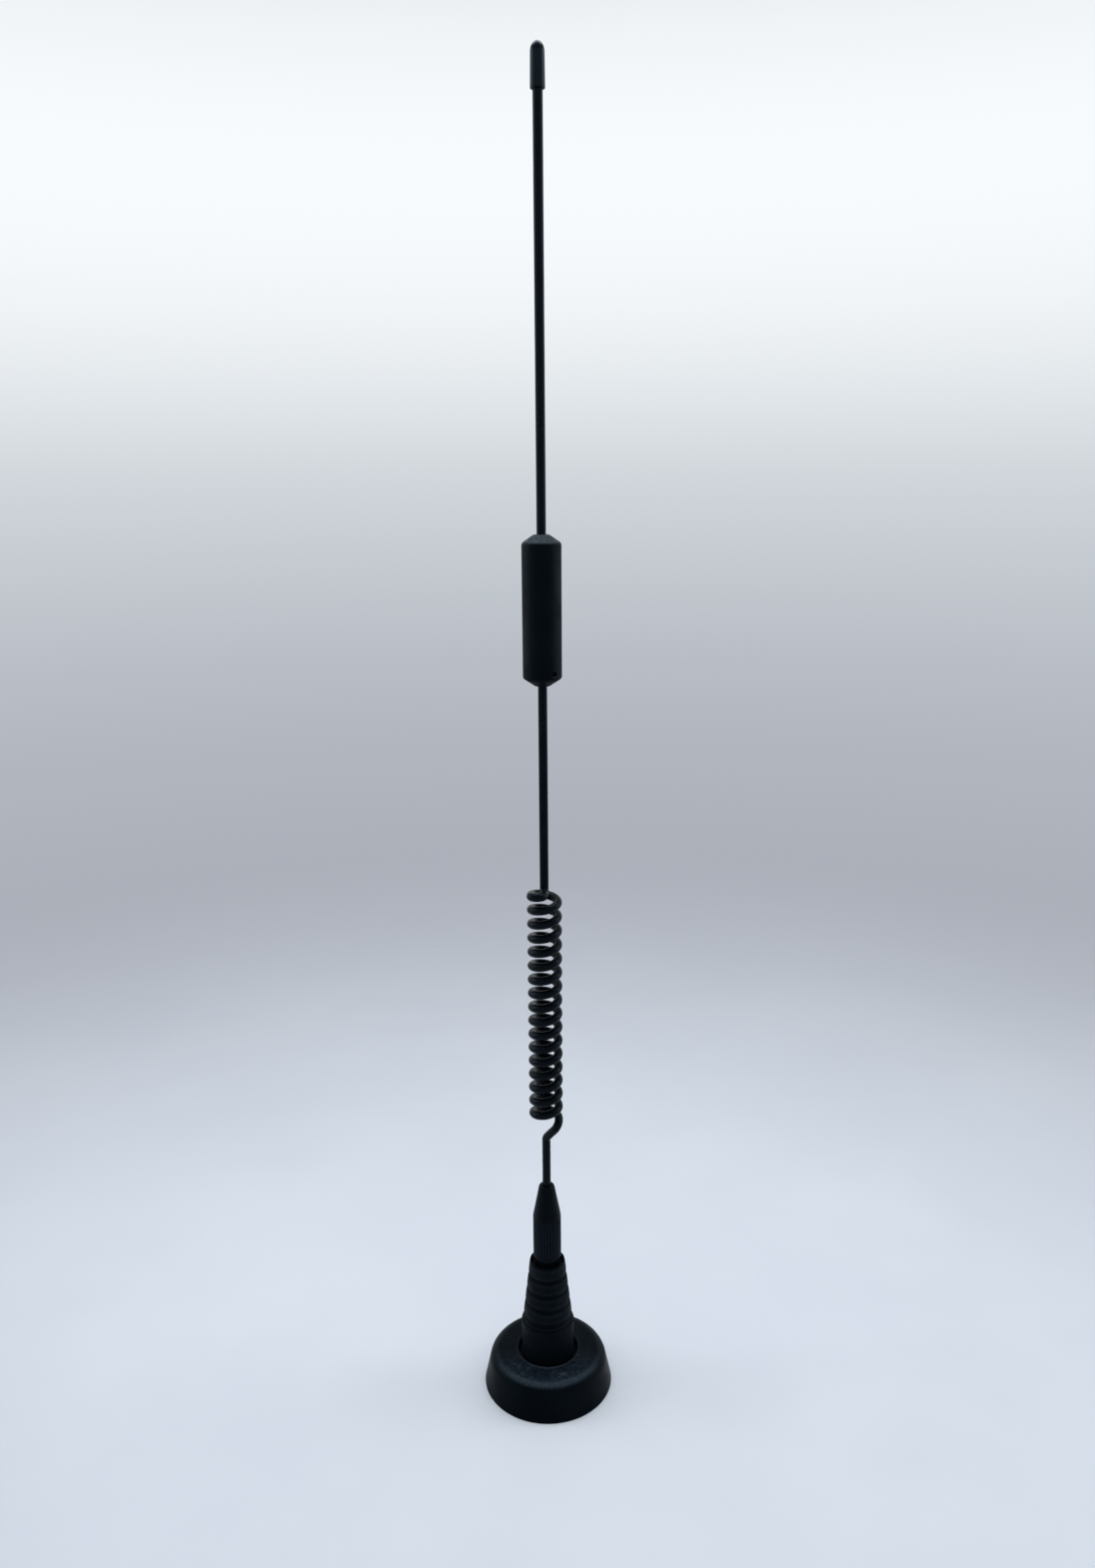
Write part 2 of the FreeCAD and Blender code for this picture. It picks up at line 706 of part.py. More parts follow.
def lower_end_cap():
    """Turned end cap: cone below the housing, spigot inside it, socket for the coiled rod."""
    body = turned("end_cap_body", [
        ("rod_hole_radius", "housing_bottom"),
        ("housing_end_radius", "housing_bottom"),
        ("housing_radius", "housing_seam"),
        ("core_radius", "housing_seam"),
        ("core_radius", "former_bottom"),
        ("0", "former_bottom"),
        ("0", "coiled_rod_top"),
        ("rod_hole_radius", "coiled_rod_top"),
    ])
    hole = radial_hole("cap_screw_hole", "set_screw_radius + thread_gap", "0", "housing_radius")
    return cut("lower_end_cap", body, hole)


def housing_set_screw():
    """Socket set screw, sunk below the housing's face, that bears on the rod."""
    outer = "housing_radius - set_screw_sink"
    inner = "rod_hole_radius"
    screw = radial_hole("set_screw_body", "set_screw_radius", inner, outer)
    socket = radial_hole("set_screw_socket", "set_screw_socket_radius", f"{outer} - set_screw_socket_depth", outer)
    return cut("housing_set_screw", screw, socket)


def upper_rod_socket():
    """Turned socket under the housing's ceiling that holds the upper rod."""
    return turned("upper_rod_socket", [
        ("0", "former_top"),
        ("core_radius", "former_top"),
        ("core_radius", "housing_ceiling"),
        ("rod_hole_radius", "housing_ceiling"),
        ("rod_hole_radius", "upper_rod_bottom"),
        ("0", "upper_rod_bottom"),
    ])


def coil_former():
    """Flanged tube between the two rod sockets."""
    return turned("coil_former", [
        ("former_bore_radius", "0"),
        ("core_radius", "0"),
        ("core_radius", "former_flange_thickness"),
        ("former_radius", "former_flange_thickness"),
        ("former_radius", "former_length - former_flange_thickness"),
        ("core_radius", "former_length - former_flange_thickness"),
        ("core_radius", "former_length"),
        ("former_bore_radius", "former_length"),
    ], "former_bottom")


def tip_cap():
    """Moulded bullet cap with a socket for the rod's end."""
    body = turned("cap_body", [
        ("0", "cap_socket_depth"),
        ("rod_hole_radius", "cap_socket_depth"),
        ("rod_hole_radius", "0"),
        ("cap_radius - cap_edge", "0"),
        ("cap_radius", "cap_edge"),
        ("cap_top_radius", "cap_length - cap_dome_height"),
        ("0", "cap_length - cap_dome_height"),
    ], "cap_bottom")
    dome = doc.addObject("Part::Ellipsoid", "cap_dome")
    dome.Angle1 = 0
    bind(dome, Radius1="cap_dome_height", Radius2="cap_top_radius", Radius3="cap_top_radius")
    place(dome, "cap_bottom + cap_length - cap_dome_height")
    cap = doc.addObject("Part::Fuse", "tip_cap")
    cap.Base = body
    cap.Tool = dome
    return cap


pieces = [
    # base
    cylinder("bottom_pad", "pad_radius", "pad_thickness"),
    ring("ring_magnet", "magnet_radius", "magnet_hole_radius", "magnet_height", "pad_thickness"),
    steel_plate(),
    base_cover(),
    plate_screws(),
    cable_grommet(),
    cylinder("stud", "stud_radius", "stud_top - nut_bottom + stud_end_reach", "nut_bottom - stud_end_reach"),
    stud_nut(),
    lock_washer(),
    lower_bush(),
    ring("insulating_washer", "washer_radius", "stud_hole_radius", "washer_thickness", "plate_top"),
    centre_lug(),
    ground_tag(),
    insulator_post(),
    ribbed_boot(),
    # ring that lifts with the whip
    ring("seal_ring", "recess_radius - seal_clearance", "tail_radius + seal_gap", "seal_thickness", "recess_floor"),
    # whip
    ferrule(),
    coiled_lower_rod(),
    lower_end_cap(),
    housing_set_screw(),
    coil_former(),
    ring("phasing_winding", "former_radius + winding_build", "former_radius",
         "former_length - 2 * former_flange_thickness", "former_bottom + former_flange_thickness"),
    upper_rod_socket(),
    housing_shell(),
    cylinder("upper_rod", "rod_radius", "upper_rod_top - upper_rod_bottom", "upper_rod_bottom"),
    tip_cap(),
]
doc.recompute()

failed = [item.Name for item in doc.Objects if "Invalid" in item.State or "Error" in item.State]
for piece in pieces:
    if piece.Shape.isNull() or not piece.Shape.isValid() or not piece.Shape.Solids:
        failed.append(piece.Label)
if failed:
    raise ValueError(f"failed: {failed}")

os.makedirs("parts", exist_ok=True)
for piece in pieces:
    piece.Shape.exportStep(f"parts/{piece.Label}.step")
    solids = len(piece.Shape.Solids)
    print(f"{piece.Label}: {solids} solid(s), {piece.Shape.Volume:.1f} mm3")
rod_length = doc.getObject("coiled_rod_path").Shape.Length
print(f"coiled rod: section times length {math.pi * value('rod_radius') ** 2 * rod_length:.1f} mm3")
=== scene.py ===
import math

import bmesh
import bpy
from mathutils import Matrix, Vector


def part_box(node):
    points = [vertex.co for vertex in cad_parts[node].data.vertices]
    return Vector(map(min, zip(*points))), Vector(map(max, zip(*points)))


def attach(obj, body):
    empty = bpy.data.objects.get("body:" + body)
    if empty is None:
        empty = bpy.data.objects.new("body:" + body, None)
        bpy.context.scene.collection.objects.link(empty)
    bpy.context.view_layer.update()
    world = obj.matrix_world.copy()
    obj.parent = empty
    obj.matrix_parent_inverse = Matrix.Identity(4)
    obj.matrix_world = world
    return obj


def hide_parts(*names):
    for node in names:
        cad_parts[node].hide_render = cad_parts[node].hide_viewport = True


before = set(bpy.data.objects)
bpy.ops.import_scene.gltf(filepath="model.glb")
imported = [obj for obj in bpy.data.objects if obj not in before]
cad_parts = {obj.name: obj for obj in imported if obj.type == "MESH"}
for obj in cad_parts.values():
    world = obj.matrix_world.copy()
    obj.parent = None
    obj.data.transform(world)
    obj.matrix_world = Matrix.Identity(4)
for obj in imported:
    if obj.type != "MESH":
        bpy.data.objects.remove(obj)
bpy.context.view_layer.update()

MM = 0.001
WELD_DISTANCE = 1e-6
SHARP_ANGLE = 35.0
REARWARDS = (0, 1, 0)

# Places read from the frame, in millimetres


def low(node):
    """Lowest height of a node."""
    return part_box(node)[0][2] / MM


def high(node):
    """Highest height of a node."""
    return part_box(node)[1][2] / MM


def reach(node):
    """Largest distance of a round node from the axis."""
    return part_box(node)[1][0] / MM


# Sizes of the visible pieces that the frame's boxes don't give, in millimetres
ROD_RADIUS = reach("upper_rod")
ROD_HOLE_RADIUS = ROD_RADIUS + 0.02
MOUTH_RADIUS = ROD_RADIUS + 0.15
MOUTH_EASE = 0.15
SHOULDER_RADIUS = 24.3
SHOULDER_ROUND = 6.0
COVER_WALL = 2.0
COVER_TOP_WALL = 2.5
COVER_HOLE_RADIUS = 12.8
COVER_LIP_ROUND = 0.7
INLET_DEPTH = 4.0
INLET_BOSS_RADIUS = 2.8
GROMMET_RADIUS = 2.1
GROMMET_LIP = 0.9
INLET_HEIGHT = (low("cable_grommet") + high("cable_grommet")) / 2
INLET_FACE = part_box("cable_grommet")[1][1] / MM - GROMMET_LIP
CABLE_RADIUS = 1.5
SKIRT_RADIUS = 11.3
SKIRT_TOP = 31.0
BOOT_FOOT_RADIUS = 10.8
BOOT_RIM_RADIUS = 7.5
BOOT_RECESS_RADIUS = 7.02
BOOT_RECESS_FLOOR = high("insulator_post")
BOOT_BORE_RADIUS = 6.0
RIB_COUNT = 4
RIB_PITCH = 6.65
GROOVE_HALF = 0.95
GROOVE_DEPTH = 0.8
FERRULE_BASE = high("ribbed_boot") + 2.0
FERRULE_SPIGOT_RADIUS = 5.35
FERRULE_TAIL_RADIUS = 4.1
FERRULE_BORE_RADIUS = 3.05
FERRULE_TOP_RADIUS = 3.2
FLUTE_LENGTH = 19.5
FLUTE_COUNT = 28
FLUTE_DEPTH = 0.35
COIL_RISE = 31.0
COIL_RADIUS = 5.25
COIL_PITCH = 5.96
COIL_TURNS = 16.5
SWING_HEIGHT = 8.8
SWING_RADIUS = 2.6
SWING_LEAD = 1.7 * SWING_RADIUS
HOOK_STRAIGHT = 0.05
HOOK_RADIUS = (COIL_RADIUS - HOOK_STRAIGHT) / 2
HOOK_REACH = COIL_RADIUS + HOOK_STRAIGHT
HOUSING_CONE = 3.0
HOUSING_END_RADIUS = 2.9
HOUSING_FLAT_RADIUS = HOUSING_END_RADIUS - 0.1
HOUSING_BORE_RADIUS = 5.9
HOUSING_TOP_WALL = 4.2
SET_SCREW_RISE = 2.1
SET_SCREW_ANGLE = math.radians(39.0)
SET_SCREW_HOLE_RADIUS = 0.95
CAP_TOP_RADIUS = 2.48
CAP_DOME = 3.5
CAP_SOCKET = 9.0
THREAD_PITCH = 1.0
THREAD_DEPTH = 0.55

# Outline and mesh tools


def even_shares(count):
    """Shares that part a run into so many equal lengths, without its ends."""
    return [step / count for step in range(1, count)]


def straight_run(start, end, shares):
    """Points at these shares of the straight run between two points of a half section."""
    (r, z), (end_r, end_z) = start, end
    return [(r + (end_r - r) * share, z + (end_z - z) * share) for share in shares]


def shifted(r, z, offsets):
    """Points at some offsets, outwards and upwards, from one point of a half section."""
    return [(r + outwards, z + upwards) for outwards, upwards in offsets]


def arc(centre, radius, start, end, steps):
    """Points of an arc in a half section, from one angle to another."""
    r, z = centre
    angles = [start + (end - start) * step / steps for step in range(steps + 1)]
    return [(r + radius * math.cos(angle), z + radius * math.sin(angle)) for angle in angles]


def soft_turn(start, corner, end, steps):
    """Points of a soft turn that cuts a corner."""
    shares = [step / steps for step in range(steps + 1)]
    return [start * (1 - t) ** 2 + corner * (2 * t * (1 - t)) + end * t ** 2 for t in shares]


def soften(profile, radius, steps=3):
    """The closed outline with each corner rounded by a small turn, limited by its neighbours."""
    room_share = 0.45
    points = [Vector(p) for p in profile]
    out = []
    for index, corner in enumerate(points):
        before = points[index - 1] - corner
        after = points[(index + 1) % len(points)] - corner
        half = before.angle(after) / 2
        room = room_share * min(before.length, after.length)
        back = min(radius / math.tan(half), room)
        start = corner + before.normalized() * back
        end = corner + after.normalized() * back
        out += soft_turn(start, corner, end, steps)
    return out


def weld(mesh):
    """Merge points that coincide, drop faces of zero size and turn all faces outwards."""
    work = bmesh.new()
    work.from_mesh(mesh)
    bmesh.ops.remove_doubles(work, verts=work.verts, dist=WELD_DISTANCE)
    bmesh.ops.dissolve_degenerate(work, edges=work.edges, dist=WELD_DISTANCE)
    bmesh.ops.recalc_face_normals(work, faces=work.faces)
    work.to_mesh(mesh)
    work.free()


def finish_mesh(name, verts, faces, sharp=SHARP_ANGLE):
    """A smooth-shaded object from points in millimetres, with edges past an angle left sharp."""
    mesh = bpy.data.meshes.new(name)
    mesh.from_pydata([Vector(v) * MM for v in verts], [], faces)
    weld(mesh)
    mesh.shade_smooth()
    mesh.set_sharp_from_angle(angle=math.radians(sharp))
    piece = bpy.data.objects.new(name, mesh)
    bpy.context.scene.collection.objects.link(piece)
    return piece


def lathe(name, profile, sides, wobble=None, sharp=SHARP_ANGLE):
    """A closed half section (radius, height) turned about Z; wobble changes a radius by angle."""
    verts = []
    faces = []
    rows = len(profile)
    for column in range(sides):
        angle = 2 * math.pi * column / sides
        here = column * rows
        ahead = (column + 1) % sides * rows
        for row, (r, z) in enumerate(profile):
            radius = wobble(r, z, angle) if wobble else r
            verts.append((radius * math.cos(angle), radius * math.sin(angle), z))
            above = (row + 1) % rows
            faces.append((here + row, ahead + row, ahead + above, here + above))
    return finish_mesh(name, verts, faces, sharp)


def ring_faces(rings, sides):
    """Faces that join rings of points into a closed tube."""
    faces = [tuple(range(sides)), tuple(range((rings - 1) * sides, rings * sides))]
    for ring in range(rings - 1):
        here = ring * sides
        ahead = here + sides
        for step in range(sides):
            following = (step + 1) % sides
            faces.append((here + step, here + following, ahead + following, ahead + step))
    return faces


def tube(name, path, radius, sides):
    """A round rod along a list of points, with flat ends."""
    points = [Vector(p) for p in path]
    tangents = []
    for index in range(len(points)):
        ahead = points[min(index + 1, len(points) - 1)]
        behind = points[max(index - 1, 0)]
        tangents.append((ahead - behind).normalized())
    normal = tangents[0].orthogonal().normalized()
    verts = []
    for index, (point, tangent) in enumerate(zip(points, tangents)):
        if index:
            normal = (tangents[index - 1].rotation_difference(tangent) @ normal).normalized()
        side = tangent.cross(normal)
        for step in range(sides):
            angle = 2 * math.pi * step / sides
            verts.append(point + (normal * math.cos(angle) + side * math.sin(angle)) * radius)
    return finish_mesh(name, verts, ring_faces(len(points), sides), sharp=50.0)


def combine(piece, tool, operation):
    """Join a tool mesh to a piece or cut it out, and drop the tool."""
    change = piece.modifiers.new("combine", "BOOLEAN")
    change.operation = operation
    change.solver = "EXACT"
    change.object = tool
    bpy.context.view_layer.update()
    graph = bpy.context.evaluated_depsgraph_get()
    mesh = bpy.data.meshes.new_from_object(piece.evaluated_get(graph))
    piece.modifiers.clear()
    old = piece.data
    piece.data = mesh
    mesh.name = old.name + "_cut"
    bpy.data.meshes.remove(old)
    bpy.data.objects.remove(tool)
    weld(mesh)
    mesh.set_sharp_from_angle(angle=math.radians(SHARP_ANGLE))
    return piece


def aim(piece, direction, place):
    """Turn a piece made along Z to another direction and move it to its place, in the mesh itself."""
    turn = Vector((0, 0, 1)).rotation_difference(Vector(direction)).to_matrix().to_4x4()
    piece.data.transform(Matrix.Translation(Vector(place) * MM) @ turn)
    return piece


# The rods' paths


def bend(before, corner, after, radius, steps=14):
    """Points of the arc that rounds a corner between two straight runs."""
    towards = (before - corner).normalized()
    onwards = (after - corner).normalized()
    half = towards.angle(onwards) / 2
    bisector = (towards + onwards).normalized()
    centre = corner + bisector * (radius / math.sin(half))
    start = corner + towards * (radius / math.tan(half)) - centre
    end = corner + onwards * (radius / math.tan(half)) - centre
    sweep = start.angle(end)
    axis = start.cross(end).normalized()
    return [centre + Matrix.Rotation(sweep * i / steps, 3, axis) @ start for i in range(steps + 1)]


def bent_run(points, radius):
    """Straight runs through the points, with every inner corner rounded."""
    path = [points[0]]
    for before, corner, after in zip(points, points[1:], points[2:]):
        path += bend(before, corner, after, radius)
    return path + [points[-1]]


def coiled_path(turn_steps=40):
    """The lower rod's centre line: swing from the axis, open coil, hook back to the axis."""
    up = Vector((0, 0, 1))
    bottom = high("ferrule") + COIL_RISE
    top = bottom + COIL_PITCH * COIL_TURNS
    climb = COIL_PITCH / (2 * math.pi * COIL_RADIUS)
    first = Vector((COIL_RADIUS, 0, bottom))
    swing = [
        up * low("coiled_lower_rod"),
        up * (bottom - SWING_HEIGHT),
        first - Vector((0, 1, climb)) * SWING_LEAD,
        first,
    ]
    coil = []
    steps = round(COIL_TURNS * turn_steps)
    for step in range(1, steps):
        share = step / steps
        angle = 2 * math.pi * COIL_TURNS * share
        coil.append(Vector((COIL_RADIUS * math.cos(angle), COIL_RADIUS * math.sin(angle),
                            bottom + (top - bottom) * share)))
    angle = 2 * math.pi * COIL_TURNS
    onwards = Vector((-math.sin(angle), math.cos(angle), 0))
    last = Vector((COIL_RADIUS * math.cos(angle), COIL_RADIUS * math.sin(angle), top))
    level = top + climb * HOOK_REACH
    hook = [
        last,
        last + (onwards + up * climb) * HOOK_REACH,
        onwards * HOOK_REACH + up * level,
        up * level,
        up * high("coiled_lower_rod"),
    ]
    return bent_run(swing, SWING_RADIUS) + coil + bent_run(hook, HOOK_RADIUS)


def straight_path(steps=24):
    """The upper rod's centre line."""
    bottom = low("upper_rod")
    top = high("upper_rod")
    return [(0, 0, bottom + (top - bottom) * step / steps) for step in range(steps + 1)]


# Pieces


def make_cover():
    """Base cover: sloped flank, rounded shoulder, flat top with a lipped hole, cable boss at the rear."""
    radius = reach("base_cover")
    height = high("base_cover")
    slope = (radius - SHOULDER_RADIUS) / height
    ceiling = height - COVER_TOP_WALL
    rim = 0.15
    round_share = 0.85
    flank_top = height - SHOULDER_ROUND * round_share
    profile = [(radius - COVER_WALL, 0), (radius - rim, 0), (radius, rim)]
    flank = (radius - slope * rim, rim), (radius - slope * flank_top, flank_top)
    profile += straight_run(*flank, even_shares(7))
    # the shoulder is an arc tangent to the flank and the top
    lean = math.atan(slope)
    centre_z = height - SHOULDER_ROUND
    centre_r = radius - slope * centre_z - SHOULDER_ROUND / math.cos(lean)
    profile += arc((centre_r, centre_z), SHOULDER_ROUND, lean, math.pi / 2, 16)
    lip_r = COVER_HOLE_RADIUS + COVER_LIP_ROUND
    profile += straight_run((centre_r, height), (lip_r, height), even_shares(4))
    profile += arc((lip_r, height - COVER_LIP_ROUND), COVER_LIP_ROUND, math.pi / 2, math.pi, 6)
    profile += [(COVER_HOLE_RADIUS, ceiling), (radius - COVER_WALL - slope * ceiling, ceiling)]
    cover = lathe("cover_moulding", profile, sides=192)
    return make_inlet(cover)


def make_inlet(cover):
    """Cable boss with an eased edge on the cover's rear, and the grommet's hole through it."""
    ease = 0.25
    beyond = 1.0
    place = (0, INLET_FACE, INLET_HEIGHT)
    boss_profile = [(0, -INLET_DEPTH), (INLET_BOSS_RADIUS, -INLET_DEPTH), (INLET_BOSS_RADIUS, -ease),
                    (INLET_BOSS_RADIUS - ease, 0), (0, 0)]
    boss = aim(lathe("boss_tool", boss_profile, sides=48), REARWARDS, place)
    combine(cover, boss, "UNION")
    inner = -INLET_DEPTH - beyond
    hole_profile = [(0, inner), (GROMMET_RADIUS, inner), (GROMMET_RADIUS, beyond), (0, beyond)]
    hole = aim(lathe("hole_tool", hole_profile, sides=48), REARWARDS, place)
    return combine(cover, hole, "DIFFERENCE")


def make_grommet():
    """Soft grommet with rounded lips in the cable boss."""
    lip_width = 0.4
    lip_round = 0.3
    lip_radius = GROMMET_RADIUS + lip_width
    inner_end = -INLET_DEPTH - GROMMET_LIP
    profile = [
        (CABLE_RADIUS, inner_end), (lip_radius, inner_end), (lip_radius, -INLET_DEPTH),
        (GROMMET_RADIUS, -INLET_DEPTH), (GROMMET_RADIUS, 0),
        (lip_radius, 0), (lip_radius, GROMMET_LIP), (CABLE_RADIUS, GROMMET_LIP),
    ]
    piece = lathe("grommet_ring", soften(profile, lip_round), sides=64)
    return aim(piece, REARWARDS, (0, INLET_FACE, INLET_HEIGHT))


def boot_radius(z):
    """The boot's tapered line."""
    rim = high("ribbed_boot")
    share = (rim - z) / (rim - SKIRT_TOP)
    return BOOT_RIM_RADIUS + (BOOT_FOOT_RADIUS - BOOT_RIM_RADIUS) * share


def rib_outline(start, end):
    """One rib from its lower to its upper edge, with rounded edges and a slight crown."""
    edge_sink = 0.2
    edge_length = 0.6
    crown = 0.05
    points = []
    for share in [0, *even_shares(10), 1]:
        z = start + (end - start) * share
        edge = min(share, 1 - share) * (end - start)
        sink = edge_sink * max(0.0, 1 - edge / edge_length) ** 2
        rise = crown * (math.sin(math.pi * share) - 1)
        points.append((boot_radius(z) - sink + rise, z))
    return points


def groove_outline(middle):
    """One round groove between two ribs, without its edges."""
    shallow = 0.25
    points = []
    for share in even_shares(8):
        angle = math.pi * share
        z = middle - GROOVE_HALF * math.cos(angle)
        points.append((boot_radius(z) - shallow - (GROOVE_DEPTH - shallow) * math.sin(angle), z))
    return points


def make_boot():
    """Ribbed boot: flange, skirt, softly crowned ribs between round grooves, thin rim and recess."""
    rim = high("ribbed_boot")
    foot = low("ribbed_boot")
    ceiling = high("base_cover") - COVER_TOP_WALL
    flange = reach("ribbed_boot")
    root = 0.35
    skirt_edge = ((0.0, -0.6), (-0.12, -0.25), (-0.45, -0.02))
    neck = ((-0.45, 0.02), (-0.6, 0.2), (-0.5, 0.42))
    first_rib_rise = 0.55
    rim_round = 0.22
    rim_land = 0.1
    recess_ease = 0.2
    profile = [(BOOT_BORE_RADIUS, foot), (flange, foot), (flange, ceiling), (SKIRT_RADIUS + root, ceiling),
               (SKIRT_RADIUS, ceiling + root)]
    edge_outline = shifted(SKIRT_RADIUS, SKIRT_TOP, skirt_edge)
    profile += straight_run((SKIRT_RADIUS, ceiling), edge_outline[0], even_shares(6))
    profile += edge_outline + shifted(BOOT_FOOT_RADIUS, SKIRT_TOP, neck)
    start = SKIRT_TOP + first_rib_rise
    for index in range(RIB_COUNT, 0, -1):
        groove = rim - RIB_PITCH * index
        profile += rib_outline(start, groove - GROOVE_HALF) + groove_outline(groove)
        start = groove + GROOVE_HALF
    profile += rib_outline(start, rim - rim_round)
    rim_mid = (BOOT_RIM_RADIUS + BOOT_RECESS_RADIUS) / 2
    profile += [(rim_mid + rim_land, rim), (rim_mid - rim_land, rim),
                (BOOT_RECESS_RADIUS, rim - recess_ease), (BOOT_RECESS_RADIUS, BOOT_RECESS_FLOOR),
                (BOOT_BORE_RADIUS, BOOT_RECESS_FLOOR)]
    return lathe("boot_moulding", profile, sides=160, sharp=48.0)


def make_ferrule():
    """Ferrule with cut flutes, a coned nose and a rounded top."""
    base = FERRULE_BASE
    radius = reach("ferrule")
    tail = low("ferrule")
    shoulder = high("seal_ring")
    top = high("ferrule")
    flutes_end = base + FLUTE_LENGTH
    stud_room = 1.0
    bore_top = high("stud") + stud_room
    socket = low("coiled_lower_rod")
    edge = 0.3
    run_out = ((0, -1.1), (0, -0.8), (0, -0.5), (0, -0.25), (-0.03, 0.1))
    mouth_width = 0.25
    mouth_depth = 0.2
    profile = [(FERRULE_BORE_RADIUS, tail), (FERRULE_TAIL_RADIUS, tail), (FERRULE_TAIL_RADIUS, shoulder),
               (FERRULE_SPIGOT_RADIUS, shoulder), (FERRULE_SPIGOT_RADIUS, base), (radius - edge, base),
               (radius, base + edge)]
    end_outline = shifted(radius, flutes_end, run_out)
    profile += straight_run((radius, base + edge), end_outline[0], even_shares(9)) + end_outline
    profile += straight_run((radius, flutes_end), (FERRULE_TOP_RADIUS, top), even_shares(10))
    # a rounded nose, a little wider at its start to meet the cone, and the rod's hole in it
    nose = 0.8
    flare = 0.08
    for share in [0, *even_shares(6), 1]:
        angle = math.pi / 2 * share
        profile.append((FERRULE_TOP_RADIUS - nose + nose * math.cos(angle) + flare * (1 - share),
                        top - nose + nose * math.sin(angle)))
    profile += [(ROD_RADIUS + mouth_width, top), (ROD_HOLE_RADIUS, top - mouth_depth),
                (ROD_HOLE_RADIUS, socket), (0, socket), (0, bore_top), (FERRULE_BORE_RADIUS, bore_top)]
    flute_start = base + 0.05
    flute_end = flutes_end - 0.2
    fade_length = 0.5
    land = 0.3

    def flute(r, z, angle):
        """Radius of the fluted grip: round flutes between flat lands, running out below the cone."""
        if r < radius - FLUTE_DEPTH or not flute_start < z < flute_end:
            return r
        wave = 0.5 + 0.5 * math.cos(angle * FLUTE_COUNT)
        fade = min(1.0, (flute_end - z) / fade_length)
        return r - FLUTE_DEPTH * max(0.0, wave - land) / (1 - land) * fade

    return lathe("ferrule_turning", profile, sides=FLUTE_COUNT * 12, wobble=flute, sharp=28.0)


def make_coiled_rod():
    """Lower rod with its open coil."""
    return tube("coiled_rod", coiled_path(), ROD_RADIUS, sides=28)


def make_straight_rod():
    """Straight upper rod."""
    return tube("straight_rod", straight_path(), ROD_RADIUS, sides=40)


def make_housing():
    """Coil housing: satin cylinder with coned, softened ends and the set screw's hole."""
    radius = reach("housing_shell")
    bottom = low("housing_shell")
    top = high("housing_shell")
    ceiling = top - HOUSING_TOP_WALL
    shoulder = top - HOUSING_CONE
    foot = ((-0.3, 0.0), (-0.13, 0.13), (-0.03, 0.34), (0.0, 0.6))
    turn = 1.0
    turn_share = 0.22
    cone_shares = (0.4, 0.65, 0.92)
    foot_outline = shifted(radius, bottom, foot)
    profile = [(HOUSING_BORE_RADIUS, bottom)] + foot_outline
    profile += straight_run(foot_outline[-1], (radius, shoulder - turn), even_shares(10))
    # a soft turn from the cylinder to the cone
    corner = Vector((radius, shoulder))
    end = corner + Vector((HOUSING_END_RADIUS - radius, HOUSING_CONE)) * turn_share
    profile += soft_turn(Vector((radius, shoulder - turn)), corner, end, 8)
    profile += straight_run((radius, shoulder), (HOUSING_END_RADIUS, top), cone_shares)
    profile += [(HOUSING_FLAT_RADIUS, top), (MOUTH_RADIUS, top), (ROD_HOLE_RADIUS, top - MOUTH_EASE),
                (ROD_HOLE_RADIUS, ceiling), (HOUSING_BORE_RADIUS, ceiling)]
    return make_screw_hole(lathe("housing_moulding", profile, sides=128), radius)


def make_screw_hole(shell, radius):
    """The set screw's hole through the housing's wall, with a countersunk edge."""
    countersink = 0.35
    countersink_depth = 0.22
    inside = 4.0
    outside = radius + 0.25
    way = (math.sin(SET_SCREW_ANGLE), -math.cos(SET_SCREW_ANGLE), 0)
    place = (0, 0, low("housing_shell") + SET_SCREW_RISE)
    r = SET_SCREW_HOLE_RADIUS
    tool_profile = [(0, inside), (r, inside), (r, radius - countersink_depth), (r + countersink, outside),
                    (0, outside)]
    tool = aim(lathe("screw_hole_tool", tool_profile, sides=40), way, place)
    return combine(shell, tool, "DIFFERENCE")


def make_end_cap():
    """Coned end cap below the housing, with a fine seam against the shell."""
    bottom = low("lower_end_cap")
    radius = reach("housing_shell")
    top = high("lower_end_cap")
    clearance = 0.05
    core = HOUSING_BORE_RADIUS - clearance
    socket = high("coiled_lower_rod")
    seam = low("housing_shell")
    seam_gap = 0.02
    seam_edge = ((-0.33, -0.14), (-0.36, -seam_gap))
    cone_shares = (0.05, 0.35, 0.65, 0.9)
    profile = [(ROD_HOLE_RADIUS, bottom + MOUTH_EASE), (MOUTH_RADIUS, bottom),
               (HOUSING_FLAT_RADIUS, bottom)]
    cone = (HOUSING_END_RADIUS, bottom), (radius, bottom + HOUSING_CONE)
    profile += straight_run(*cone, cone_shares) + shifted(radius, seam, seam_edge)
    profile += [(core, seam - seam_gap), (core, top), (0, top), (0, socket), (ROD_HOLE_RADIUS, socket)]
    return lathe("end_cap_turning", profile, sides=128)


def make_tip():
    """Bullet cap with a moulded nose and a softened lower edge."""
    bottom = low("tip_cap")
    radius = reach("tip_cap")
    dome = high("tip_cap") - CAP_DOME
    socket = bottom + CAP_SOCKET
    mouth_depth = 0.2
    edge = shifted(radius, bottom, ((-0.35, 0.0), (-0.1, 0.12), (0.0, 0.4)))
    profile = [(0, socket), (ROD_HOLE_RADIUS, socket), (ROD_HOLE_RADIUS, bottom + mouth_depth),
               (MOUTH_RADIUS, bottom), *edge]
    profile += straight_run(edge[-1], (CAP_TOP_RADIUS, dome), [*even_shares(8), 1])
    for share in [*even_shares(14), 1]:
        angle = math.pi / 2 * share
        profile.append((CAP_TOP_RADIUS * math.cos(angle), dome + CAP_DOME * math.sin(angle)))
    return lathe("tip_moulding", profile, sides=72)


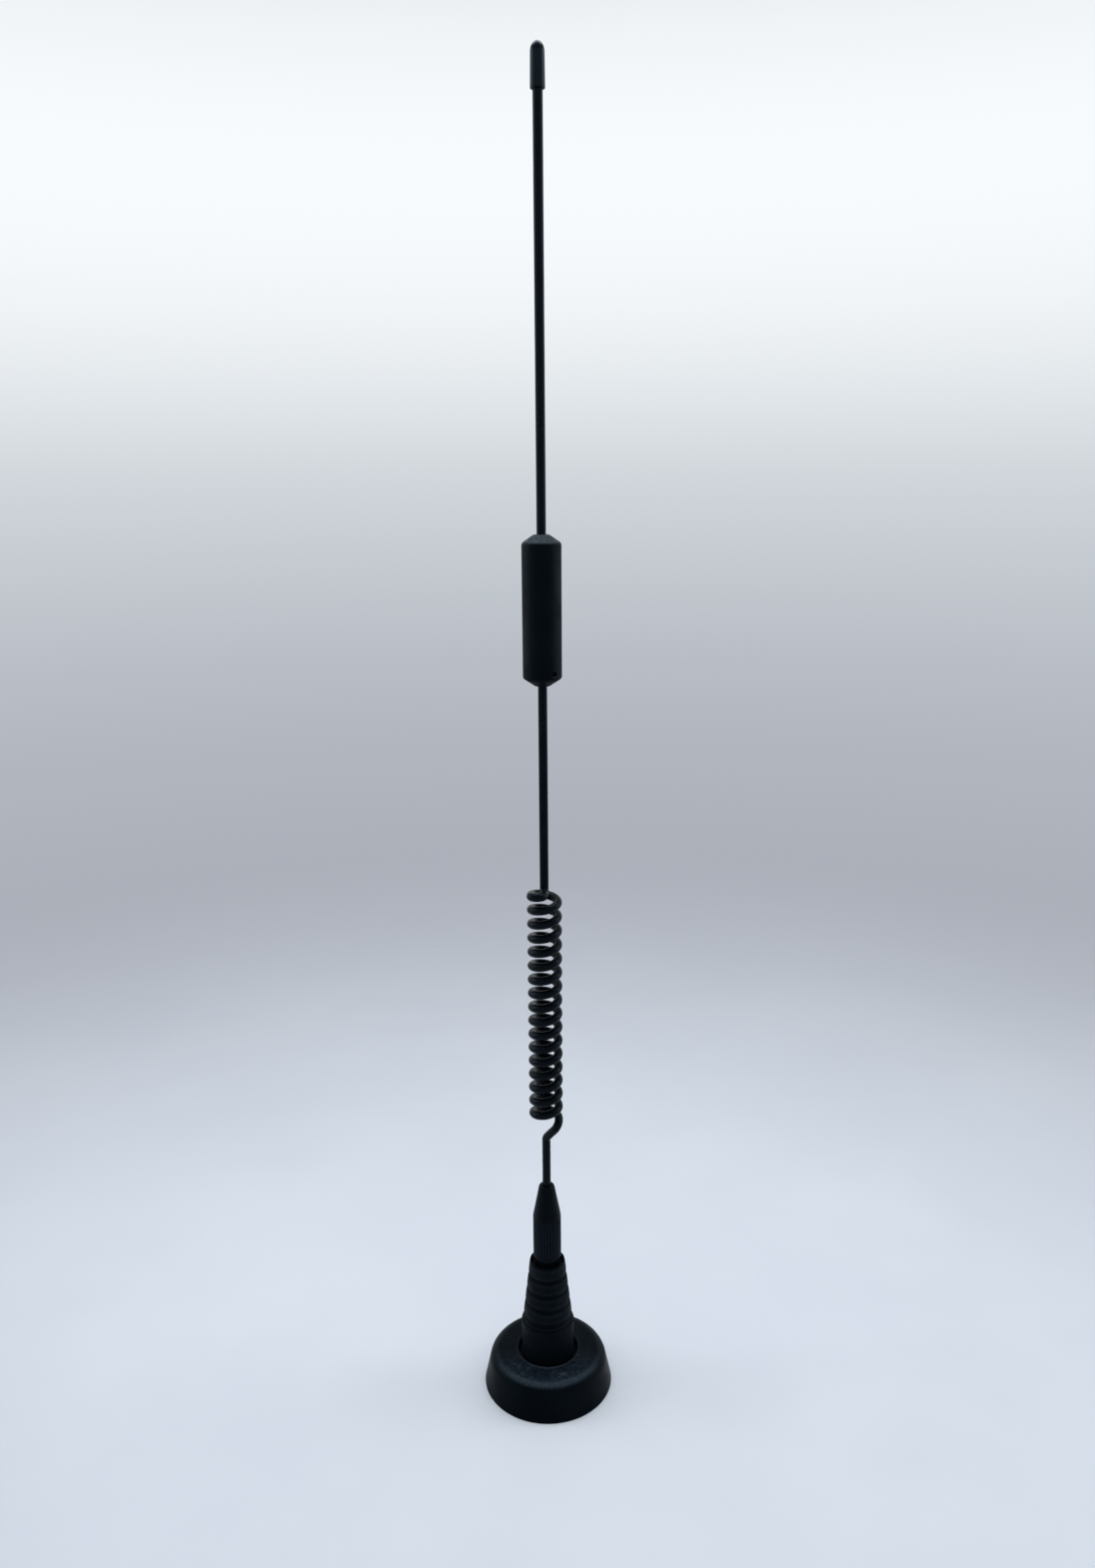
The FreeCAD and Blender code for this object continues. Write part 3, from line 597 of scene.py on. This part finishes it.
def make_stud():
    """Stud with its rolled thread, cut as a helical groove along its whole length, and chamfered ends."""
    radius = reach("stud")
    bottom = low("stud")
    top = high("stud")
    sides = 40
    rows_per_turn = 8
    end_chamfer = 0.6
    groove_share = 0.9
    rows = round((top - bottom) / THREAD_PITCH * rows_per_turn)
    verts = []
    for row in range(rows + 1):
        z = bottom + (top - bottom) * row / rows
        chamfer = max(0.0, end_chamfer - min(z - bottom, top - z))
        for step in range(sides):
            angle = 2 * math.pi * step / sides
            phase = ((z - bottom) / THREAD_PITCH - step / sides) % 1.0
            groove = THREAD_DEPTH * max(0.0, 1 - abs(2 * phase - 1) / groove_share)
            r = min(radius - groove, radius - chamfer)
            verts.append((r * math.cos(angle), r * math.sin(angle), z))
    return finish_mesh("stud_thread", verts, ring_faces(rows + 1, sides), sharp=40.0)


def make_seal():
    """Seal ring with rounded edges."""
    bottom = low("seal_ring")
    top = high("seal_ring")
    outer = reach("seal_ring")
    clearance = 0.08
    inner = FERRULE_TAIL_RADIUS + clearance
    edge_round = 0.5
    profile = [(inner, bottom), (outer, bottom), (outer, top), (inner, top)]
    return lathe("seal_moulding", soften(profile, edge_round, steps=5), sides=96)


# Materials

BLACK_SHEEN = 0.065
COVER_SHEEN = 0.035
COOL_SHEEN = (0.5, 0.78, 1.0, 1.0)


def shaded(colour, factor):
    """A colour made darker or lighter."""
    return tuple(channel * factor for channel in colour)


class Nodes:
    """A node tree that is put together step by step."""

    def __init__(self, tree):
        self.tree = tree

    def node(self, kind, **values):
        """A new node with some of its properties set."""
        item = self.tree.nodes.new(kind)
        for key, value in values.items():
            setattr(item, key, value)
        return item

    def link(self, source, target):
        """Feed an input from another node's output or with a plain value."""
        if hasattr(source, "is_output"):
            self.tree.links.new(source, target)
        else:
            target.default_value = source

    def maths(self, operation, first, second=0.0):
        """The result of a calculation with two values."""
        item = self.node("ShaderNodeMath", operation=operation)
        self.link(first, item.inputs[0])
        self.link(second, item.inputs[1])
        return item.outputs[0]

    def split(self, vector):
        """The X, Y and Z of a vector."""
        item = self.node("ShaderNodeSeparateXYZ")
        self.link(vector, item.inputs["Vector"])
        return item.outputs


class Surface(Nodes):
    """A material whose textures follow the part's own coordinates."""

    def __init__(self, name):
        self.material = bpy.data.materials.new(name)
        self.material.use_nodes = True
        super().__init__(self.material.node_tree)
        self.shader = self.tree.nodes["Principled BSDF"]
        self.place = self.node("ShaderNodeTexCoord").outputs["Object"]

    def stretch(self, scale, turn=(0, 0, 0)):
        """The place turned and then scaled along each axis, for long marks."""
        mapping = self.node("ShaderNodeMapping", vector_type="TEXTURE")
        mapping.inputs["Scale"].default_value = [1 / factor for factor in scale]
        mapping.inputs["Rotation"].default_value = turn
        self.link(self.place, mapping.inputs["Vector"])
        return mapping.outputs["Vector"]

    def noise(self, scale, detail=4.0, rough=0.55, where=None, warp=0.0):
        """Cloudy noise."""
        item = self.node("ShaderNodeTexNoise")
        item.inputs["Scale"].default_value = scale
        item.inputs["Detail"].default_value = detail
        item.inputs["Roughness"].default_value = rough
        item.inputs["Distortion"].default_value = warp
        self.link(where or self.place, item.inputs["Vector"])
        return item.outputs["Fac"]

    def ramp(self, source, start, end, low_value=0.0, high_value=1.0):
        """A soft step from the low to the high value as the source goes from start to end."""
        item = self.node("ShaderNodeMapRange", interpolation_type="SMOOTHSTEP")
        item.inputs["From Min"].default_value = start
        item.inputs["From Max"].default_value = end
        item.inputs["To Min"].default_value = low_value
        item.inputs["To Max"].default_value = high_value
        self.link(source, item.inputs["Value"])
        return item.outputs["Result"]

    def band(self, source, rise, fall):
        """A soft band that rises over one range of the source and falls over another."""
        return self.times(self.ramp(source, *rise), self.ramp(source, *fall))

    def times(self, first, *others):
        """The product of some values."""
        for other in others:
            first = self.maths("MULTIPLY", first, other)
        return first

    def mix(self, share, first, second):
        """A blend of two colours."""
        item = self.node("ShaderNodeMix", data_type="RGBA")
        self.link(share, item.inputs["Factor"])
        for colour, target in ((first, "A"), (second, "B")):
            self.link(colour if hasattr(colour, "is_output") else (*colour, 1.0), item.inputs[target])
        return item.outputs["Result"]

    def axis(self, name):
        """One coordinate of the place."""
        return self.split(self.place)[name]

    def facing_up(self, start, end):
        """How far a face looks upwards."""
        normal = self.node("ShaderNodeNewGeometry").outputs["Normal"]
        return self.ramp(self.split(normal)["Z"], start, end)

    def distance_from_axis(self, forward=0.0):
        """Distance from the part's upright axis, or from a line some way in front of it."""
        across = self.maths("POWER", self.axis("X"), 2.0)
        deep = self.maths("POWER", self.maths("ADD", self.axis("Y"), forward), 2.0)
        return self.maths("SQRT", self.maths("ADD", across, deep))

    def bump(self, height, strength, distance, before=None):
        """Relief, on top of an earlier one if there is one."""
        item = self.node("ShaderNodeBump")
        item.inputs["Strength"].default_value = strength
        item.inputs["Distance"].default_value = distance
        self.link(height, item.inputs["Height"])
        if before:
            self.link(before, item.inputs["Normal"])
        return item.outputs["Normal"]

    def set(self, **values):
        """The finished material, with these inputs of its shader."""
        for key, value in values.items():
            self.link(value, self.shader.inputs[key.replace("_", " ")])
        return self.material


def black_plastic(name, base, worn, rough=(0.42, 0.6), grain=2600.0, grain_strength=0.14, sheen=BLACK_SHEEN):
    """Moulded black plastic: fine grain, cloudy sheen and faint dust, with upward faces made paler, partly
    settled dust and partly painted top light.
    """
    s = Surface(name)
    dust_colour = (0.1, 0.105, 0.115)
    dust_share = 0.08
    settled_dust_and_top_light_colour = (0.055, 0.067, 0.076)
    grain_height = 0.12 * MM
    cloud = s.noise(55.0, 5.0)
    dust = s.ramp(s.noise(2400.0, 2.0, 0.7), 0.66, 0.8)
    colour = s.mix(s.ramp(cloud, 0.35, 0.7), base, worn)
    colour = s.mix(s.times(dust, dust_share), colour, dust_colour)
    # upward faces made paler in patches: settled dust, and painted top light
    patchy = s.ramp(s.noise(700.0, 5.0, 0.65), 0.25, 0.75, 0.45, 1.0)
    settled_dust_and_top_light = s.times(s.facing_up(0.3, 0.85), patchy)
    colour = s.mix(settled_dust_and_top_light, colour, settled_dust_and_top_light_colour)
    fine = s.noise(grain, 3.0, 0.6)
    return s.set(
        Base_Color=colour,
        Roughness=s.ramp(s.noise(160.0, 4.0), 0.3, 0.75, *rough),
        Specular_IOR_Level=sheen,
        Specular_Tint=COOL_SHEEN,
        Normal=s.bump(fine, grain_strength, grain_height),
    )


def cover_scratches(s):
    """Long thin scratches that run in three directions."""
    lines = 0.0
    for turn, scale in ((1.2, 240.0), (1.65, 320.0), (2.3, 280.0)):
        where = s.stretch((scale * 8, scale * 0.35, scale), (0, 0, turn))
        streak = s.noise(1.0, 3.0, 0.6, where, warp=0.4)
        lines = s.maths("MAXIMUM", lines, s.ramp(streak, 0.61, 0.69))
    return lines


def scuffed_cover_painted_highlights(name, height):
    """The cover's plastic, with pale scuffs and scratches on its flat top that grow towards the front, where
    they are partly a painted highlight, and painted highlights on the hole's rim and the shoulder.
    """
    s = Surface(name)
    clean_colour = (0.0011, 0.0021, 0.0036)
    cloud_colour = (0.0026, 0.004, 0.006)
    rub_and_highlight_colour = (0.018, 0.028, 0.041)
    edge_highlight_colour = (0.04, 0.054, 0.068)
    scuff_and_highlight_colour = (0.1, 0.115, 0.13)
    speck_colour = (0.12, 0.125, 0.135)
    rub_and_highlight_share = 0.6
    shoulder_highlight_share = 0.75
    scuff_and_highlight_share = 0.6
    speck_share = 0.12
    grain_height = 0.12 * MM
    scratch_height = 0.08 * MM
    # where the flat top, the hole's rim and the shoulder are, and how the scuffs and the painted highlights
    # grow towards the front
    upright = s.axis("Z")
    depth = s.axis("Y")
    centre = s.distance_from_axis()
    on_top = s.ramp(upright, (height - 1.6) * MM, (height - 0.3) * MM)
    # the hole's rim and the shoulder, where highlights are painted
    lip_highlight = s.times(s.ramp(centre, 14.5 * MM, 13.7 * MM), on_top)
    shoulder = s.band(centre, (21.0 * MM, 22.4 * MM), (24.3 * MM, 22.9 * MM))
    shoulder = s.times(shoulder, s.ramp(upright, (height - 3.4) * MM, (height - 2.4) * MM))
    # scuffs and rubs grow paler towards the front, partly as a painted highlight
    worn = s.times(on_top, s.ramp(depth, 0.0, -14.0 * MM, 0.12, 1.0))
    front_edge_highlight = s.ramp(depth, -2.0 * MM, -21.0 * MM, 0.15, 1.0)
    # the marks: scuffs, rubs and specks, and the painted highlights on the rim and the shoulder
    patches = s.ramp(s.noise(130.0, 5.0, 0.65), 0.42, 0.62)
    scuff = s.times(cover_scratches(s), patches, worn)
    rub_and_highlight = s.times(s.ramp(s.noise(620.0, 6.0, 0.75), 0.38, 0.66, 0.15, 1.0), worn)
    # paler rim and shoulder, brightest at the front: painted highlight
    edge = s.maths("MAXIMUM", lip_highlight, s.times(shoulder, shoulder_highlight_share))
    edge = s.times(edge, s.ramp(s.noise(800.0, 5.0, 0.7), 0.3, 0.65, 0.5, 1.0), front_edge_highlight)
    specks = s.ramp(s.noise(1700.0, 2.0, 0.7), 0.67, 0.78)
    colour = s.mix(s.ramp(s.noise(48.0, 6.0, 0.6), 0.35, 0.72), clean_colour, cloud_colour)
    colour = s.mix(s.times(rub_and_highlight, rub_and_highlight_share), colour, rub_and_highlight_colour)
    colour = s.mix(edge, colour, edge_highlight_colour)
    colour = s.mix(s.times(scuff, scuff_and_highlight_share), colour, scuff_and_highlight_colour)
    colour = s.mix(s.times(specks, speck_share), colour, speck_colour)
    rough = s.maths("ADD", s.ramp(s.noise(140.0, 4.0), 0.3, 0.7, 0.32, 0.46), s.times(scuff, 0.2))
    normal = s.bump(s.noise(2300.0, 3.0, 0.6), 0.16, grain_height)
    normal = s.bump(scuff, 0.3, scratch_height, normal)
    return s.set(
        Base_Color=colour,
        Roughness=rough,
        Specular_IOR_Level=COVER_SHEEN,
        Specular_Tint=COOL_SHEEN,
        Normal=normal,
    )


def painted_rib_light(s, colour, base, bloom):
    """The boot's colour with painted highlights along the rib edges and painted shade in the grooves between
    them.
    """
    rib_highlight_share = 0.7
    rib_highlight_colour = shaded(bloom, 2.4)
    groove_shade_colour = shaded(base, 0.3)
    z = s.axis("Z")
    steps = s.maths("DIVIDE", s.maths("SUBTRACT", high("ribbed_boot") * MM, z), RIB_PITCH * MM)
    from_groove = s.times(s.maths("PINGPONG", steps, 0.5), RIB_PITCH)
    above_skirt = s.ramp(z, (SKIRT_TOP - 0.1) * MM, (SKIRT_TOP + 0.3) * MM)
    # painted highlights along the rib edges
    rib_highlight = s.times(s.band(from_groove, (0.85, 1.2), (2.9, 1.4)), above_skirt)
    rib_highlight = s.times(rib_highlight, s.ramp(s.noise(500.0, 4.0), 0.3, 0.7, 0.3, 1.0))
    colour = s.mix(s.times(rib_highlight, rib_highlight_share), colour, rib_highlight_colour)
    # painted shade in the grooves
    groove = s.times(s.ramp(from_groove, 1.0, 0.7), above_skirt)
    return s.mix(groove, colour, groove_shade_colour)


def dull_rubber(name, base, bloom, dust_share=0.2, ribs=False):
    """Moulded rubber: matte, with pale bloom and fine dust."""
    s = Surface(name)
    dust_colour = (0.1, 0.103, 0.11)
    grain_height = 0.1 * MM
    cloud = s.ramp(s.noise(85.0, 6.0, 0.6), 0.38, 0.7)
    colour = s.mix(cloud, base, bloom)
    # the boot's ribs get painted highlights on their edges and painted shade in their grooves
    if ribs:
        colour = painted_rib_light(s, colour, base, bloom)
    dust = s.ramp(s.noise(2100.0, 3.0, 0.75), 0.63, 0.78)
    colour = s.mix(s.times(dust, dust_share), colour, dust_colour)
    return s.set(
        Base_Color=colour,
        Roughness=s.ramp(s.noise(220.0, 4.0), 0.3, 0.7, 0.5, 0.68),
        Specular_IOR_Level=BLACK_SHEEN,
        Specular_Tint=COOL_SHEEN,
        Normal=s.bump(s.noise(1500.0, 4.0, 0.65), 0.2, grain_height),
    )


def paler_lands(s, colour, base, radius):
    """The ferrule's colour with the lands between its flutes made paler."""
    land_share = 0.9
    land_colour = shaded(base, 5.0)
    flutes_end = FERRULE_BASE + FLUTE_LENGTH
    outside = s.ramp(s.distance_from_axis(), (radius - 0.22) * MM, (radius - 0.02) * MM)
    below_cone = s.ramp(s.axis("Z"), (flutes_end - 0.4) * MM, (flutes_end - 1.2) * MM)
    return s.mix(s.times(outside, below_cone, land_share), colour, land_colour)


def coated_steel(name, base, rough=(0.2, 0.36), streaks=0.35, chips=0.8, lands=None, sheen=BLACK_SHEEN):
    """Black coating over metal: smooth, with long faint streaks, specks and small pale chips."""
    s = Surface(name)
    cloud_colour = shaded(base, 1.9)
    streak_colour = (0.022, 0.024, 0.029)
    chip_colour = (0.15, 0.152, 0.16)
    orange_peel_height = 0.1 * MM
    chip_height = 0.05 * MM
    colour = s.mix(s.ramp(s.noise(95.0, 5.0), 0.35, 0.7), base, cloud_colour)
    streak = s.ramp(s.noise(1.0, 4.0, 0.6, s.stretch((1500.0, 1500.0, 60.0))), 0.58, 0.76)
    colour = s.mix(s.times(streak, streaks), colour, streak_colour)
    if lands:
        colour = paler_lands(s, colour, base, lands)
    speck = s.ramp(s.noise(1150.0, 2.0, 0.6), 0.7, 0.76)
    area = s.ramp(s.noise(45.0, 3.0), 0.45, 0.62)
    chip = s.times(speck, area, chips)
    colour = s.mix(chip, colour, chip_colour)
    normal = s.bump(s.noise(700.0, 4.0, 0.6), 0.06, orange_peel_height)
    normal = s.bump(chip, -0.3, chip_height, normal)
    return s.set(
        Base_Color=colour,
        Roughness=s.maths("ADD", s.ramp(s.noise(180.0, 4.0), 0.3, 0.7, *rough), s.times(chip, 0.2)),
        Specular_IOR_Level=sheen,
        Specular_Tint=COOL_SHEEN,
        Normal=normal,
    )


def bare_metal(name, light, dark, rough=(0.22, 0.42)):
    """Turned or plated metal with fine tool marks and slight tarnish."""
    s = Surface(name)
    mark_height = 0.05 * MM
    colour = s.mix(s.ramp(s.noise(120.0, 5.0), 0.3, 0.72), light, dark)
    marks = s.noise(1.0, 3.0, 0.6, s.stretch((250.0, 250.0, 6000.0)))
    return s.set(
        Base_Color=colour,
        Metallic=1.0,
        Roughness=s.ramp(s.noise(300.0, 4.0), 0.3, 0.7, *rough),
        Normal=s.bump(marks, 0.08, mark_height),
    )


def nylon(name):
    """Natural nylon, slightly yellowed, with a soft sheen."""
    s = Surface(name)
    fresh_colour = (0.72, 0.7, 0.62)
    aged_colour = (0.64, 0.6, 0.5)
    grain_height = 0.1 * MM
    return s.set(
        Base_Color=s.mix(s.ramp(s.noise(70.0, 5.0), 0.3, 0.7), fresh_colour, aged_colour),
        Roughness=s.ramp(s.noise(260.0, 3.0), 0.3, 0.7, 0.38, 0.52),
        Normal=s.bump(s.noise(900.0, 3.0), 0.08, grain_height),
    )


def ferrite(name):
    """Ground ceramic magnet, dark grey with fine grain."""
    s = Surface(name)
    dark_colour = (0.045, 0.044, 0.043)
    grain_colour = (0.085, 0.083, 0.08)
    grain_height = 0.1 * MM
    return s.set(
        Base_Color=s.mix(s.ramp(s.noise(900.0, 5.0, 0.7), 0.35, 0.7), dark_colour, grain_colour),
        Roughness=s.ramp(s.noise(300.0, 4.0), 0.3, 0.7, 0.55, 0.75),
        Normal=s.bump(s.noise(1800.0, 4.0, 0.7), 0.25, grain_height),
    )


def wound_wire(name):
    """Close turns of enamelled copper wire, with painted shade between the turns."""
    s = Surface(name)
    crevice_shade_colour = (0.22, 0.06, 0.02)
    wire_colour = (0.66, 0.27, 0.1)
    wire_height = 0.2 * MM
    wave = s.node("ShaderNodeTexWave", bands_direction="Z")
    wave.inputs["Scale"].default_value = 650.0
    s.link(s.place, wave.inputs["Vector"])
    turns = wave.outputs["Fac"]
    # the colour darkens between the turns as painted shade
    return s.set(
        Base_Color=s.mix(turns, crevice_shade_colour, wire_colour),
        Metallic=0.8,
        Roughness=s.ramp(s.noise(400.0, 3.0), 0.3, 0.7, 0.28, 0.42),
        Normal=s.bump(turns, 0.6, wire_height),
    )


def dress(piece, material, body, node):
    """Give a new piece its finish and its body, and hide the node that it stands for."""
    piece.data.materials.clear()
    piece.data.materials.append(material)
    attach(piece, body)
    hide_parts(node)


cover_look = scuffed_cover_painted_highlights("scuffed_black_plastic_painted_highlights", high("base_cover"))
boot_look = dull_rubber("boot_black_rubber", (0.0012, 0.002, 0.0034), (0.003, 0.0042, 0.006), 0.06, ribs=True)
grommet_look = dull_rubber("grommet_black_rubber", (0.0045, 0.005, 0.006), (0.008, 0.0088, 0.01), 0.08)
seal_look = dull_rubber("seal_black_rubber", (0.004, 0.0042, 0.005), (0.0068, 0.007, 0.0078), 0.04)
pad_look = dull_rubber("pad_black_rubber", (0.008, 0.0085, 0.0095), (0.018, 0.0185, 0.02), 0.25)
rod_look = coated_steel("rod_black_coating", (0.0009, 0.0014, 0.0022), sheen=0.1)
ferrule_look = coated_steel("ferrule_black_plating", (0.0011, 0.0017, 0.0028), rough=(0.3, 0.46),
                            streaks=0.2, chips=0.5, lands=reach("ferrule"))
cap_end_look = coated_steel("end_cap_black_plating", (0.0014, 0.0022, 0.0034), rough=(0.36, 0.52),
                            streaks=0.2, chips=0.3, sheen=0.02)
housing_look = black_plastic("housing_black_plastic", (0.0012, 0.0022, 0.0038), (0.0028, 0.0042, 0.0062))
tip_look = black_plastic("tip_black_plastic", (0.0012, 0.0018, 0.0028), (0.0024, 0.0034, 0.0048),
                         rough=(0.24, 0.4), grain=1800.0, grain_strength=0.07, sheen=0.2)
steel_look = bare_metal("zinc_plated_steel", (0.56, 0.56, 0.53), (0.42, 0.42, 0.39))
brass_look = bare_metal("turned_brass", (0.72, 0.53, 0.24), (0.5, 0.34, 0.13))
nylon_look = nylon("natural_nylon")
ferrite_look = ferrite("ground_ferrite")
wire_look = wound_wire("enamelled_copper")

dress(make_cover(), cover_look, "base", "base_cover")
dress(make_grommet(), grommet_look, "base", "cable_grommet")
dress(make_boot(), boot_look, "base", "ribbed_boot")
dress(make_stud(), brass_look, "base", "stud")
dress(make_seal(), seal_look, "seal", "seal_ring")
dress(make_ferrule(), ferrule_look, "whip", "ferrule")
dress(make_coiled_rod(), rod_look, "whip", "coiled_lower_rod")
dress(make_end_cap(), cap_end_look, "whip", "lower_end_cap")
dress(make_housing(), housing_look, "whip", "housing_shell")
dress(make_straight_rod(), rod_look, "whip", "upper_rod")
dress(make_tip(), tip_look, "whip", "tip_cap")

NODE_LOOKS = {
    "bottom_pad": pad_look,
    "ring_magnet": ferrite_look,
    "steel_plate": steel_look,
    "plate_screws": steel_look,
    "stud_nut": brass_look,
    "lock_washer": steel_look,
    "lower_bush": nylon_look,
    "insulating_washer": nylon_look,
    "centre_lug": brass_look,
    "ground_tag": brass_look,
    "insulator_post": nylon_look,
    "housing_set_screw": steel_look,
    "coil_former": nylon_look,
    "phasing_winding": wire_look,
    "upper_rod_socket": brass_look,
}
for node, look in NODE_LOOKS.items():
    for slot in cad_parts[node].material_slots:
        slot.material = look

# Stage: pale floor, soft lights and a pale surround, in metres

LAMP_COLOUR = (0.88, 0.95, 1.0)
FILL_COLOUR = (0.8, 0.87, 0.95, 1)
FILL_STRENGTH = 0.42
SURROUND_BANDS = (
    (0.3, (0.4, 0.42, 0.475)),
    (0.4, (0.42, 0.445, 0.5)),
    (0.5, (0.62, 0.66, 0.7)),
    (0.57, (0.95, 0.98, 1.0)),
    (0.66, (0.95, 0.98, 1.0)),
    (0.76, (0.3, 0.32, 0.36)),
    (1.0, (0.3, 0.32, 0.36)),
)


def make_floor():
    """A round pale floor, like seamless paper, that fades softly into the surround."""
    radius = 1.0
    fade_start = 0.1
    fade_end = 0.9
    fade_forward = 0.1
    mesh = bpy.data.meshes.new("floor")
    work = bmesh.new()
    bmesh.ops.create_circle(work, cap_ends=True, segments=96, radius=radius)
    work.to_mesh(mesh)
    work.free()
    floor = bpy.data.objects.new("floor", mesh)
    bpy.context.scene.collection.objects.link(floor)
    s = Surface("pale_paper")
    colour = s.mix(s.ramp(s.noise(6.0, 3.0), 0.3, 0.7), (0.7, 0.71, 0.75), (0.74, 0.75, 0.785))
    alpha = s.ramp(s.distance_from_axis(fade_forward), fade_start, fade_end, 1.0, 0.0)
    mesh.materials.append(s.set(Base_Color=colour, Roughness=0.75, Specular_IOR_Level=0.2, Alpha=alpha))


def soft_light(name, place, target, size, power):
    """A large, slightly cool area lamp aimed at a point."""
    lamp = bpy.data.lights.new(name, "AREA")
    lamp.shape = "RECTANGLE"
    lamp.size, lamp.size_y = size
    lamp.energy = power
    lamp.color = LAMP_COLOUR
    item = bpy.data.objects.new(name, lamp)
    item.location = place
    item.rotation_euler = (Vector(target) - Vector(place)).to_track_quat("-Z", "Y").to_euler()
    bpy.context.scene.collection.objects.link(item)


def make_world():
    """Surround for what the camera and reflections see, in soft level bands, and plain fill light."""
    world = bpy.data.worlds.new("surround")
    world.use_nodes = True
    bpy.context.scene.world = world
    w = Nodes(world.node_tree)
    w.tree.nodes.clear()
    rays = w.node("ShaderNodeLightPath").outputs
    seen = w.maths("MAXIMUM", rays["Is Camera Ray"], rays["Is Glossy Ray"])
    seen = w.maths("MAXIMUM", seen, rays["Is Transmission Ray"])
    # straight down is 0 in the bands, level is 0.5 and straight up is 1
    level = w.node("ShaderNodeMapRange")
    level.inputs["From Min"].default_value = -1.0
    w.link(w.split(w.node("ShaderNodeTexCoord").outputs["Generated"])["Z"], level.inputs["Value"])
    shade = w.node("ShaderNodeValToRGB")
    w.link(level.outputs["Result"], shade.inputs["Fac"])
    shade.color_ramp.interpolation = "B_SPLINE"
    stops = shade.color_ramp.elements
    for index, (position, colour) in enumerate(SURROUND_BANDS):
        stop = stops[index] if index < 2 else stops.new(position)
        stop.position = position
        stop.color = (*colour, 1)
    fill = w.node("ShaderNodeBackground")
    fill.inputs["Color"].default_value = FILL_COLOUR
    fill.inputs["Strength"].default_value = FILL_STRENGTH
    surround = w.node("ShaderNodeBackground")
    w.link(shade.outputs["Color"], surround.inputs["Color"])
    mix = w.node("ShaderNodeMixShader")
    w.link(seen, mix.inputs["Fac"])
    w.link(fill.outputs[0], mix.inputs[1])
    w.link(surround.outputs[0], mix.inputs[2])
    w.link(mix.outputs[0], w.node("ShaderNodeOutputWorld").inputs["Surface"])


make_floor()
make_world()
soft_light("top_box", place=(0.0, 0.2, 1.1), target=(0, 0, 0.2), size=(1.0, 0.5), power=7.2)
soft_light("back_strip", place=(0.0, 0.55, 0.5), target=(0, 0, 0.03), size=(0.3, 0.12), power=0.15)
soft_light("left_box", place=(-0.8, 0.1, 0.5), target=(0, 0, 0.2), size=(0.4, 0.8), power=2.0)
soft_light("right_box", place=(0.8, 0.1, 0.5), target=(0, 0, 0.2), size=(0.4, 0.8), power=2.0)

# Camera at the photo's place: pitch, roll, distance and height solved from the rod's width at several heights
PHOTO_HEIGHT_PX = 1570
FOCAL_PX = 1200.0
CAMERA_PLACE = (0.0016, -0.4478, 0.38685)
CAMERA_PITCH = math.radians(14.53)
CAMERA_ROLL = math.radians(-0.43)
SENSOR_WIDTH = 36.0
NEAREST_SEEN = 0.01
camera = bpy.data.cameras.new("camera")
camera.sensor_width = SENSOR_WIDTH
camera.lens = SENSOR_WIDTH * FOCAL_PX / PHOTO_HEIGHT_PX
camera.clip_start = NEAREST_SEEN
eye = bpy.data.objects.new("camera", camera)
turn = Matrix.Rotation(math.pi / 2 - CAMERA_PITCH, 4, "X") @ Matrix.Rotation(CAMERA_ROLL, 4, "Z")
eye.matrix_world = Matrix.Translation(CAMERA_PLACE) @ turn
bpy.context.scene.collection.objects.link(eye)
bpy.context.scene.camera = eye
bpy.context.scene.view_settings.view_transform = "Standard"

bpy.context.view_layer.update()
